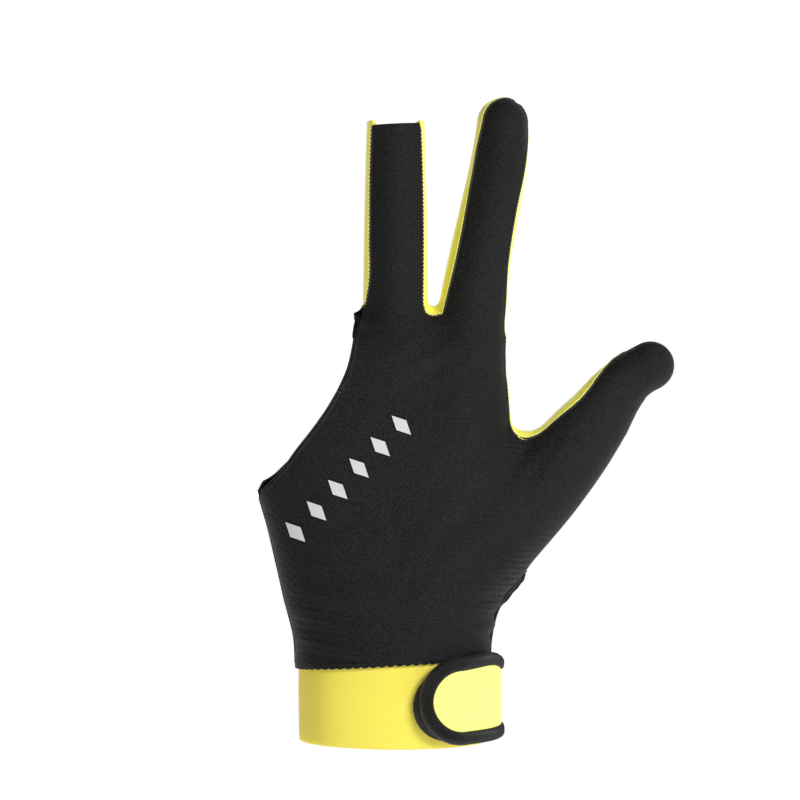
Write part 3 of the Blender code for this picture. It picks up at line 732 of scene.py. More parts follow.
    def opening_line(self, side: Side, step: float = 0.0006) -> np.ndarray:
        """Line on the skin along an opening's edge."""
        rows = self.opening_rows(side)
        share = np.linspace(0.44, 0.962, 400)
        x = rows_at(rows, share, 1) * self.hand.palm_width
        z = self.hand.band_height + share * self.hand.palm_length
        swells = self.hand.swells(side)
        depth = np.sqrt(np.maximum(self.hand.depth_squared(x, z), 0)) * self.hand.swell(swells, x, z)
        line = np.stack([x, self.hand.plane(x, z) + side.value * depth, z], axis=1)
        reach = self.reaches(line)[0 if side is Side.BACK else 1]
        return even_out(line[depth > np.maximum(reach, 0.0012)], step)


class Value:
    """A shader value whose operators add Math nodes."""

    def __init__(self, shop: "Shop", socket: bpy.types.NodeSocket) -> None:
        """Keep the node workshop and the socket."""
        self.shop, self.socket = shop, socket

    def maths(self, operation: str, *others: "Value | float") -> "Value":
        """Result of a Math node on this value and others."""
        return self.shop.node("ShaderNodeMath", {"operation": operation}, dict(enumerate((self, *others))))

    def __add__(self, other: "Value | float") -> "Value":
        """Sum."""
        return self.maths("ADD", other)

    def __sub__(self, other: "Value | float") -> "Value":
        """Difference."""
        return self.maths("SUBTRACT", other)

    def __rsub__(self, other: float) -> "Value":
        """A number less this value."""
        return self.shop.node("ShaderNodeMath", {"operation": "SUBTRACT"}, {0: other, 1: self})

    def __mul__(self, other: "Value | float") -> "Value":
        """Product."""
        return self.maths("MULTIPLY", other)

    __radd__ = __add__
    __rmul__ = __mul__

    def sine(self) -> "Value":
        """Sine of the value."""
        return self.maths("SINE")


class Shop:
    """Builds the nodes of one material."""

    def __init__(self, name: str) -> None:
        """Start a material with its Principled shader."""
        self.material = bpy.data.materials.new(name)
        self.material.use_nodes = True
        self.tree = self.material.node_tree
        self.shader = self.tree.nodes["Principled BSDF"]

    def node(self, kind: str, settings: dict, sockets: dict, output: int | str = 0) -> Value:
        """Add a node.

        Args:
            kind: the node's type.
            settings: its settings, set first.
            sockets: values or links for its inputs, by number or name.
            output: the output that is returned.

        Returns:
            The output as a value.
        """
        made = self.tree.nodes.new(kind)
        for key, setting in settings.items():
            setattr(made, key, setting)
        for key, given in sockets.items():
            self.feed(made.inputs[key], given)
        return Value(self, made.outputs[output])

    def feed(self, socket: bpy.types.NodeSocket, given: "Value | float | tuple") -> None:
        """Link a value to a socket, or set the socket."""
        if isinstance(given, Value):
            self.tree.links.new(given.socket, socket)
        else:
            socket.default_value = given

    def coordinates(self) -> tuple[Value, Value, Value, Value]:
        """Object coordinates and their three parts."""
        place = self.node("ShaderNodeTexCoord", {}, {}, "Object")
        split = self.tree.nodes.new("ShaderNodeSeparateXYZ")
        self.feed(split.inputs[0], place)
        return place, *(Value(self, out) for out in split.outputs)

    def noise(self, place: Value, scale: float, detail: float = 2.0) -> Value:
        """Cloudy values about 0.5 at a scale in cycles a metre."""
        return self.node("ShaderNodeTexNoise", {}, {"Vector": place, "Scale": scale, "Detail": detail}, 0)

    def blend(self, factor: Value, first: tuple, second: tuple) -> Value:
        """Mix of two colours."""
        sockets = {0: factor, 6: (*first, 1), 7: (*second, 1)}
        return self.node("ShaderNodeMix", {"data_type": "RGBA"}, sockets, 2)

    def finish(
        self, colour: Value, roughness: Value | float, height: Value, depth: float, **fixed: float
    ) -> bpy.types.Material:
        """Wire the shader and return the material.

        Args:
            colour: base colour.
            roughness: roughness over the surface.
            height: height for the bump, about 0 to 1.
            depth: its real height in metres.
            fixed: other shader inputs, with underscores for spaces.

        Returns:
            The material.
        """
        bump = self.node("ShaderNodeBump", {}, {"Height": height, "Distance": depth, "Strength": 1.0})
        self.feed(self.shader.inputs["Normal"], bump)
        self.feed(self.shader.inputs["Base Color"], colour)
        self.feed(self.shader.inputs["Roughness"], roughness)
        for key, given in fixed.items():
            self.shader.inputs[key.replace("_", " ")].default_value = given
        return self.material


@dataclass(frozen=True)
class Knit:
    """Stretch knit: courses up the hand, wales across, with a slight twill."""

    name: str
    dark: tuple[float, float, float]
    light: tuple[float, float, float]
    course: float = 0.00062
    wale: float = 0.00105
    slant: float = 0.55
    depth: float = 0.00012
    grain: float = 1350.0
    roughness: float = 0.62
    sheen: float = 0.05
    specular: float = 0.2
    gathers: Rows = ()

    def made(self) -> bpy.types.Material:
        """Build the material."""
        shop = Shop(self.name)
        place, x, y, z = shop.coordinates()
        drift = shop.noise(place, 90.0, 3.0)
        fine = shop.noise(place, self.grain, 2.0)
        rows = (z * (math.tau / self.course) + drift * 5.0).sine()
        loops = ((x + z * self.slant + y * 0.6) * (math.tau / self.wale) + drift * 3.0).sine()
        height = rows * 0.16 + loops * 0.16 + fine * 0.9
        for gx, gz, reach, pitch, rise in self.gathers:
            aside, above = (x - gx) * (1 / reach), (z - gz) * (1 / reach)
            far = aside * aside + above * above
            fade = (1.0 - far).maths("MAXIMUM", 0.0)
            height = height + ((z + x * 0.12) * (math.tau / pitch) + drift * 6.0).sine() * fade * rise
        clouds = shop.noise(place, 40.0, 2.0)
        tone = (fine - 0.5) * 2.4 + rows * 0.1 + loops * 0.1 + clouds * 0.3 + 0.35
        return shop.finish(
            shop.blend(tone, self.dark, self.light),
            self.roughness + (fine - 0.5) * 0.2,
            height,
            self.depth,
            Sheen_Weight=self.sheen,
            Sheen_Roughness=0.35,
            Specular_IOR_Level=self.specular,
        )


@dataclass(frozen=True)
class FoamRubber:
    """Foam rubber faced with fine fabric: soft grain and faint dimples."""

    name: str
    dark: tuple[float, float, float]
    light: tuple[float, float, float]
    grain: float = 1500.0

    def made(self) -> bpy.types.Material:
        """Build the material."""
        shop = Shop(self.name)
        place, _, _, z = shop.coordinates()
        grain = shop.noise(place, self.grain, 3.0)
        clouds = shop.noise(place, 55.0, 3.0)
        rows = (z * (math.tau / 0.0007) + clouds * 4.0).sine()
        height = grain * 0.6 + rows * 0.1 + clouds * 0.3
        tone = clouds * 0.6 + grain * 0.4
        return shop.finish(
            shop.blend(tone, self.dark, self.light),
            0.72 + (grain - 0.5) * 0.2,
            height,
            0.00014,
            Sheen_Weight=0.10,
            Specular_IOR_Level=0.25,
        )


@dataclass(frozen=True)
class Tape:
    """Woven edge tape, thread or hook tape: fine grain with a soft gleam."""

    name: str
    dark: tuple[float, float, float]
    light: tuple[float, float, float]
    grain: float = 3000.0
    depth: float = 0.00008
    roughness: float = 0.55
    specular: float = 0.4

    def made(self) -> bpy.types.Material:
        """Build the material."""
        shop = Shop(self.name)
        place, *_ = shop.coordinates()
        grain = shop.noise(place, self.grain, 2.0)
        clouds = shop.noise(place, 160.0, 2.0)
        return shop.finish(
            shop.blend(grain * 0.6 + clouds * 0.4, self.dark, self.light),
            self.roughness + (clouds - 0.5) * 0.2,
            grain,
            self.depth,
            Sheen_Weight=0.02,
            Specular_IOR_Level=self.specular,
        )


@dataclass
class Wardrobe:
    """All finishes of the glove."""

    black: bpy.types.Material = field(
        default_factory=Knit(
            "black_stretch_knit",
            (0.0010, 0.0010, 0.0011),
            (0.0125, 0.0125, 0.0130),
            depth=0.0003,
            gathers=(
                (0.032, 0.055, 0.022, 0.0019, 0.7),
                (-0.022, 0.040, 0.02, 0.0024, 0.35),
                (0.040, 0.098, 0.012, 0.0016, 0.5),
            ),
        ).made
    )
    yellow: bpy.types.Material = field(
        default_factory=Knit(
            "yellow_stretch_knit", (0.88, 0.82, 0.10), (0.97, 0.94, 0.17), 0.00055, 0.0008, 0.0, 0.00006, 0.6, 0.1, 0.25
        ).made
    )
    # Foam band's yellow, darker and more orange than the strap's: partly the foam's own tone, partly painted shade.
    foam_painted_shade: bpy.types.Material = field(
        default_factory=FoamRubber("yellow_foam_band", (0.80, 0.68, 0.075), (0.91, 0.81, 0.12)).made
    )
    loop: bpy.types.Material = field(
        default_factory=FoamRubber("yellow_loop_fabric", (0.92, 0.91, 0.20), (0.98, 0.97, 0.27), 2400.0).made
    )
    tape: bpy.types.Material = field(
        default_factory=Tape("black_edge_tape", (0.0025, 0.0025, 0.0025), (0.018, 0.018, 0.0185)).made
    )
    thread: bpy.types.Material = field(
        default_factory=Tape("black_thread", (0.005, 0.005, 0.005), (0.030, 0.030, 0.031)).made
    )
    # Thread of the opening's stitches: its grey is a painted glint, lighter than the black thread so that the stitch
    # rows read as lit.
    hem: bpy.types.Material = field(
        default_factory=Tape("grey_hem_thread", (0.03, 0.03, 0.03), (0.10, 0.10, 0.105)).made
    )
    # Yellow rim cord beside each seam: a real raised rim, and its yellow, paler than the knit, is a painted highlight.
    bright: bpy.types.Material = field(
        default_factory=Tape("yellow_thread", (0.93, 0.92, 0.16), (0.99, 0.98, 0.26)).made
    )
    hooks: bpy.types.Material = field(
        default_factory=Tape(
            "black_hook_tape", (0.001, 0.001, 0.001), (0.020, 0.020, 0.021), 2600.0, 0.0005, 0.35, 0.5
        ).made
    )
    ink: bpy.types.Material = field(
        default_factory=Tape("pale_print", (0.55, 0.55, 0.55), (0.66, 0.66, 0.66), 2600.0, 0.00003, 0.5, 0.4).made
    )


def dress(
    piece: bpy.types.Object, material: bpy.types.Material, slot: str, node: str | None = None
) -> bpy.types.Object:
    """Give a piece its finish and body, and hide the solid that it replaces.

    Args:
        piece: the piece.
        material: its finish.
        slot: not used.
        node: the solid that it replaces, if any.

    Returns:
        The piece.
    """
    piece.data.materials.append(material)
    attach(piece, "root")
    if node:
        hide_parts(node)
    LOG.info("%s: %d faces", piece.name, len(piece.data.polygons))
    return piece


@dataclass
class Shell:
    """Back panel, palm panel and gussets as thin knit on the form."""

    hand: Hand
    seams: Seams
    wear: Wardrobe
    step: float = 0.0013
    cloth: float = 0.0010
    gap: float = 0.0
    curl_over: float = 0.0011
    top_tilt: float = 0.045
    middle_zone: float = 0.16
    least_strip: float = 0.0006
    least_share: float = 0.31
    puckers: Rows = (
        (0.44, 0.60, 62.0, 0.0062, 0.16, 0.00035),
        (0.36, 0.10, 15.0, 0.0058, 0.14, 0.00040),
        (-0.30, 0.12, -8.0, 0.0075, 0.16, 0.00030),
        (0.12, 0.84, 35.0, 0.0070, 0.12, 0.00025),
        (0.30, 0.34, 52.0, 0.0110, 0.24, 0.00035),
        (0.00, 0.30, 12.0, 0.0160, 0.34, 0.00022),
    )

    def pucker(self, p: np.ndarray) -> np.ndarray:
        """Height of the small folds that the pulled cloth shows."""
        total = np.zeros(len(p))
        for side, height, turn, pitch, reach, rise in self.puckers:
            px, pz = self.hand.place(side, height)
            x, z = p[:, 0] - px, p[:, 2] - pz
            across = z * math.cos(math.radians(turn)) - x * math.sin(math.radians(turn))
            fade = np.exp(-(x * x + z * z) / (reach * self.hand.palm_width) ** 2)
            wander = 1.3 * np.sin(x / (0.11 * self.hand.palm_width))
            total += rise * fade * np.sin(math.tau * across / pitch + wander)
        return total

    def thicken(self, name: str, net: Net) -> bpy.types.Object:
        """Shell of the cloth's thickness inwards of a cut net."""
        normal = self.hand.outward(net.points)
        lift = self.pucker(net.points)[:, None] * normal
        count = len(net.points)
        shell = np.concatenate([net.points + lift, net.points + lift - self.cloth * normal])
        rim = net.rim()
        faces = np.concatenate([net.triangles, net.triangles[:, ::-1] + count]).tolist()
        faces += [(b, a, a + count, b + count) for a, b in rim.tolist()]
        return add_mesh(name, shell, faces, 40)

    def sheet(self, net: Net) -> None:
        """Work out the area of a cut piece of cloth and the box round it, as wide as its span and depth together.

        The area is the net's own, raised for a thin curved strip to the least share of its box; the result is not kept.
        A thin curved strip is stated with the least share of its box.

        Args:
            net: its cut net.
        """
        a, b, c = (net.points[net.triangles[:, i]] for i in range(3))
        area = float(np.linalg.norm(np.cross(b - a, c - a), axis=1).sum() / 2)
        span = net.points.max(0) - net.points.min(0)
        width, length = span[0] + span[1], span[2]
        while width * length < area:
            width *= 1.1
        area = max(area, self.least_share * width * length)

    def build(self) -> None:
        """Cut the net along the seams and dress each part."""
        hand, seams, half = self.hand, self.seams, self.gap / 2
        net = skin_net(hand, self.step).relaxed(hand)
        whole = net.kept(hand, lambda p: p[:, 2] - hand.seam_height(p[:, 0]))
        top, zone = seams.cut_height(), self.middle_zone * hand.palm_width
        net = whole.kept(
            hand, lambda p: np.maximum(top + self.top_tilt * p[:, 0] - p[:, 2], p[:, 0] - zone)
        )
        back = net.kept(hand, lambda p: -hand.off_plane(p) - seams.reaches(p)[0] - half)
        back = back.kept(hand, seams.opening(Side.BACK)).largest()
        palm = net.kept(hand, lambda p: hand.off_plane(p) - seams.reaches(p)[1] - half)
        palm = palm.kept(hand, seams.opening(Side.PALM)).largest()
        top += self.curl_over
        net = whole.kept(hand, lambda p: np.maximum(top - p[:, 2], p[:, 0] - zone))
        strip = net.kept(hand, lambda p: hand.off_plane(p) + seams.reaches(p)[0] - half)
        strip = strip.kept(hand, lambda p: seams.reaches(p)[1] - hand.off_plane(p) - half)
        strip = strip.kept(hand, lambda p: sum(seams.reaches(p)[:2]) - self.least_strip)
        strip = strip.kept(hand, seams.opening(Side.BACK))
        for node, part in (("back_panel", back), ("palm_panel", palm)):
            piece = dress(self.thicken(f"{node}_knit", part), self.wear.black, node, node)
            self.sheet(part)
        for i, node in enumerate(GUSSETS):
            owner = seams.reaches(strip.points)[2]
            part = Net(strip.points, strip.triangles[(owner[strip.triangles] == i).all(1)]).largest()
            piece = dress(self.thicken(f"{node}_knit", part), self.wear.yellow, node, node)
            self.sheet(part)


@dataclass
class Stitching:
    """Seam ridges, hems and stitches that follow the cut edges."""

    hand: Hand
    seams: Seams
    wear: Wardrobe
    ridge: float = 0.00042
    hem_width: float = 0.0019
    hem_rise: float = 0.00035
    hem_taper: float = 0.0045
    knuckle_side: float = -0.147
    stitch: float = 0.0016
    stitch_gap: float = 0.0007
    thread: float = 0.00017
    rim_offset: float = 0.00062
    row_trim: int = 11
    row_insets: tuple[tuple[str, float], ...] = (("a", 0.0007), ("b", 0.0015))
    middle_zone: float = 0.16
    pitch: float = 0.00125
    clear: float = 0.45
    faint: float = 0.12
    fold_top: float = 0.0548
    fold_length: float = 0.0105
    fold_radius: float = 0.0010

    def cord(
        self,
        name: str,
        line: np.ndarray,
        radius: float,
        pitch: float,
        wobble: float,
        lift: float = 0.0,
        aside: float = 0.0,
    ) -> bpy.types.Object:
        """Thin ridge along a line on the skin, its width rising and falling with the stitches.

        Args:
            name: the piece's name.
            line: points on the skin.
            radius: half its width.
            pitch: length of one stitch.
            wobble: share of the radius that comes and goes.
            lift: distance of its middle over the skin.
            aside: distance that it lies beside the line, along Y on the skin.

        Returns:
            The piece.
        """
        line = even_out(line, min(pitch / 5, 0.0004))
        normal = self.hand.outward(line)
        along = direction(line)
        across = np.cross(normal, along)
        if aside:
            way = -np.sign(across[:, 1:2]) * across
            line = self.hand.onto_skin(line + aside * way, 2)
            normal = self.hand.outward(line)
        run = run_along(line)
        size = radius * (1 + wobble * np.sin(math.tau * run / pitch))
        taper = np.clip(np.minimum(run, run[-1] - run) / (2 * radius), 0.15, 1)
        size = size * taper
        sides = 8
        turns = np.linspace(0, math.tau, sides, endpoint=False)
        rings = [
            line + lift * normal + size[:, None] * (math.cos(t) * across + 0.75 * math.sin(t) * normal) for t in turns
        ]
        points = np.stack(rings, axis=1).reshape(-1, 3)
        return add_mesh(name, points, sweep_faces(len(line), sides), 60)

    def hem(self, name: str, line: np.ndarray, inward: float, depth: float = 0.0012) -> bpy.types.Object:
        """Folded hem along an edge.

        Args:
            name: the piece's name.
            line: points on the skin along the edge.
            inward: 1 or -1, the side of the line that the cloth is on.
            depth: thickness of the fold.

        Returns:
            The piece.
        """
        normal = self.hand.outward(line)
        along = direction(line)
        across = inward * np.cross(normal, along)
        section = (
            (self.hem_width, 0.00005),
            (0.8 * self.hem_width, 0.6 * self.hem_rise),
            (0.45 * self.hem_width, self.hem_rise),
            (0.12 * self.hem_width, 0.7 * self.hem_rise),
            (-0.0003, -0.2 * depth),
            (-0.0003, -0.7 * depth),
            (0.12 * self.hem_width, -1.05 * depth),
            (0.5 * self.hem_width, -1.1 * depth),
            (self.hem_width, -0.95 * depth),
        )
        run = run_along(line)
        taper = np.clip(np.minimum(run, run[-1] - run) / self.hem_taper, 0.04, 1)[:, None]
        rings = [line + w * taper * across + h * np.sqrt(taper) * normal for w, h in section]
        points = np.stack(rings, axis=1).reshape(-1, 3)
        faces = sweep_faces(len(line), len(section))
        if inward > 0:
            faces = [f[::-1] for f in faces]
        return add_mesh(name, points, faces, 60)

    def stitches(self, name: str, line: np.ndarray, inset: float, lift: float) -> bpy.types.Object:
        """Row of single stitches beside a line, lying on the cloth."""
        normal = self.hand.outward(line)
        along = direction(line)
        step, ends, parts = 0.0002, 0.001, 6
        base = even_out(np.concatenate([line + inset * np.cross(normal, along), normal], axis=1), step)
        run = np.arange(len(base)) * step
        swell = np.sin(np.linspace(0.25, math.pi - 0.25, parts))
        points, faces = [], []
        start = ends
        while start + self.stitch < run[-1] - ends:
            at = np.linspace(start, start + self.stitch, parts)
            middle = np.stack([np.interp(at, run, base[:, k]) for k in range(6)], axis=1)
            centre = middle[:, :3] + (lift + 0.6 * self.thread * swell[:, None]) * middle[:, 3:]
            way = centre[-1] - centre[0]
            way /= max(float(np.linalg.norm(way)), TINY)
            side = np.cross(middle[:, 3:], way)
            first = len(points) * parts * parts
            rings = []
            for t in np.linspace(0, math.tau, parts, endpoint=False):
                size = self.thread * swell[:, None]
                rings.append(centre + size * (math.cos(t) * side + math.sin(t) * middle[:, 3:]))
            points.append(np.stack(rings, axis=1).reshape(-1, 3))
            faces += sweep_faces(parts, parts, False, first)
            start += self.stitch + self.stitch_gap
        return add_mesh(name, np.concatenate(points), faces, 60)

    def side_line(self) -> np.ndarray:
        """Line of the seam on the little finger's side, from the band to the opening."""
        corner = self.hand.place(0, self.seams.back_opening[1][0])[1]
        z = np.linspace(self.hand.band_height, corner - 0.0005, 120)
        low, high = np.full(len(z), -self.hand.palm_width), np.zeros(len(z))
        for _ in range(30):
            x = (low + high) / 2
            inside = self.hand.depth_squared(x, z) > 0
            low, high = np.where(inside, low, x), np.where(inside, x, high)
        return np.stack([x, self.hand.plane(x, z), z], axis=1)

    def seam_parts(self, which: int, side: Side) -> list[tuple[str, np.ndarray, float]]:
        """Stretches of one seam, each with its letter and how clearly its stitches show."""
        line, top = self.seams.curve(which, side), self.seams.cut_height()
        zone = self.middle_zone * self.hand.palm_width
        if which == 0:
            line = line[(line[:, 2] < top) & (line[:, 0] > self.knuckle_side * self.hand.palm_width)]
        if which == 1:
            line = line[~((line[:, 0] < zone) & (line[:, 2] > top))]
        finger = line[:, 0] < zone
        parts = [("a", line[finger], self.clear), ("b", line[~finger], self.faint)]
        if which == 2:
            parts = [("a", line, self.faint)]
        return [part for part in parts if len(part[1]) >= 4]

    def ridges(self) -> None:
        """Make the seams' ridges, each with the gusset's rim cord beside it, whose paler yellow is a painted highlight.
        """
        for which, word in enumerate(("outer", "between", "thumb")):
            for side in Side:
                for letter, line, wobble in self.seam_parts(which, side):
                    name = f"{word}_seam_{letter}_{side.name.lower()}"
                    ridge = self.cord(name, line, self.ridge, self.pitch, wobble)
                    dress(ridge, self.wear.thread, f"{side.name.lower()}_panel")
                    aside = side.value * self.rim_offset
                    # The rim cord's paler yellow is a painted highlight along the seam.
                    rim = self.cord(f"{name}_rim", line, 1.1 * self.ridge, 0.004, 0.05, 0.0, aside)
                    dress(rim, self.wear.bright, GUSSETS[which])

    def vent(self) -> None:
        """Make the vent's hems, the side seam and the small fold at the vent."""
        for side in Side:
            word = side.name.lower()
            line = self.seams.curve(3, side)
            line = line[line[:, 2] > self.hand.band_height]
            dress(self.hem(f"slit_hem_{word}", line, side.value), self.wear.black, f"{word}_panel")
        seam = self.cord("side_seam", self.side_line(), self.ridge, self.pitch, self.faint)
        dress(seam, self.wear.thread, "back_panel")
        fold = line[(line[:, 2] < self.fold_top) & (line[:, 2] > self.fold_top - self.fold_length)]
        dress(self.cord("vent_fold", fold, self.fold_radius, 0.004, 0.1, 0.0004), self.wear.black, "palm_panel")

    def openings(self) -> None:
        """Make the hems of the diagonal opening, each with two rows of stitches."""
        for side in Side:
            word, line = side.name.lower(), self.seams.opening_line(side)
            dress(self.hem(f"opening_hem_{word}", line, -side.value), self.wear.black, f"{word}_panel")
            line = line[self.row_trim : -self.row_trim]
            for row, inset in self.row_insets:
                piece = self.stitches(f"opening_stitches_{row}_{word}", line, -side.value * inset, self.hem_rise)
                # The stitches' grey thread is a painted glint on the black hem.
                dress(piece, self.wear.hem, f"{word}_panel")

    def build(self) -> None:
        """Make the seam ridges, the hems and their stitches."""
        self.ridges()
        self.vent()
        self.openings()


@dataclass
class Wrap:
    """Places points round the wrist: along its girth, at a height, lifted off it."""

    hand: Hand
    parts: int = 240

    def __post_init__(self) -> None:
        """Measure the girth half way up the band."""
        turn = np.linspace(-math.pi, math.pi, self.parts + 1)
        girth = self.ring(turn, np.full(self.parts + 1, self.hand.band_height / 2))
        run = run_along(girth)
        self.turn, self.run, self.girth = turn, run - np.interp(0, turn, run), run[-1]

    def ring(self, turn: np.ndarray, z: np.ndarray) -> np.ndarray:
        """Points of the skin round the wrist."""
        rows = self.hand.palm_rows
        middle = (rows[1][1] + rows[1][2]) / 2 * self.hand.palm_width
        return self.hand.ring((middle, 0.0), turn, z, 0.8 * self.hand.wrist_width)

    def place(self, u: np.ndarray, z: np.ndarray, lift: np.ndarray) -> np.ndarray:
        """Points at girths (towards the back), heights and lifts off the skin."""
        u, z, lift = np.broadcast_arrays(*(np.atleast_1d(np.asarray(v, float)) for v in (u, z, lift)))
        p = self.ring(np.interp(u, self.run, self.turn), z)
        return p + lift[:, None] * self.hand.outward(p)


@dataclass
class Wristband:
    """Foam-rubber band, open at the thumb side, with the panels' scalloped edge over it."""

    hand: Hand
    wrap: Wrap
    wear: Wardrobe
    thickness: float = 0.0025
    tuck: float = 0.0040
    inset: float = 0.0013
    slit: float = 0.0070
    scallop: float = 0.0027
    foot: float = 0.0015
    bow: float = 0.0010
    crown: float = 0.00022
    dent: float = 0.00018
    dent_pitch: float = 0.0085
    ripple: float = 0.0001
    ripple_pitch: float = 0.0031
    drop: float = 0.00055

    def round_wrist(self, count: int) -> tuple[np.ndarray, np.ndarray]:
        """Girths from one side of the slit to the other, plain and as places of the wrap."""
        girth = np.linspace(self.slit / 2, self.wrap.girth - self.slit / 2, count)
        return girth, np.where(girth > self.wrap.run[-1], girth - self.wrap.girth, girth)

    def section(self) -> list[tuple[float, float]]:
        """Height share and lift of the band's cross-section, with round edges."""
        t, low = self.thickness, -self.inset
        outer = [(0.0, -0.5 * t), (0.008, -0.2 * t), (0.03, -0.05 * t), (0.08, 0.0)]
        outer += [(s, self.crown * math.sin(math.pi * s)) for s in (0.2, 0.35, 0.5, 0.65, 0.8, 0.88, 0.95)]
        inner = [(1.0, 0.0), (1.0, -t), (0.6, -t), (0.3, -t), (0.08, -t), (0.03, -0.95 * t), (0.008, -0.8 * t)]
        return [(s, low + h) for s, h in outer + inner]

    def build(self) -> None:
        """Make the band and the scalloped edge."""
        section = self.section()
        _, around = self.round_wrist(260)
        half_way = np.full(len(around), self.hand.band_height / 2)
        x = self.wrap.place(around, half_way, -self.inset)[:, 0]
        foot = self.foot + self.bow * (2 * x / self.hand.wrist_width) ** 2
        top = self.hand.seam_height(x) + self.tuck
        rings = []
        for share, lift in section:
            dent = self.dent * np.sin(around / self.dent_pitch) * np.sin(math.pi * share)
            dent = dent + self.ripple * np.sin(around / self.ripple_pitch)
            rings.append(self.wrap.place(around, foot + share * (top - foot), lift + dent))
        points = np.stack(rings, axis=1).reshape(-1, 3)
        band = add_mesh("wristband_foam", points, [f[::-1] for f in sweep_faces(len(around), len(section))], 60)
        turn_out(band)
        # The band's darker, more orange yellow is partly painted shade.
        dress(band, self.wear.foam_painted_shade, "wristband", "wristband")
        self.scalloped_edge()

    def scalloped_edge(self) -> None:
        """Make the panels' lower edge, which hangs over the band in small scallops."""
        girth, around = self.round_wrist(900)
        drop = self.drop * np.abs(np.sin(math.pi * girth / self.scallop)) ** 0.7
        z = self.hand.seam_height(self.wrap.place(around, np.full(len(around), self.hand.band_height), 0.0)[:, 0])
        section = (
            (0.0012, 0.00015, 0),
            (0.0, 0.0001, 0.7),
            (-0.0001, -0.0003, 1),
            (-0.0001, -0.0009, 1),
            (0.0012, -0.0011, 0),
        )
        rings = [self.wrap.place(around, z + up - share * drop, lift) for up, lift, share in section]
        dress(swept("panel_lower_edge", rings), self.wear.black, "back_panel")


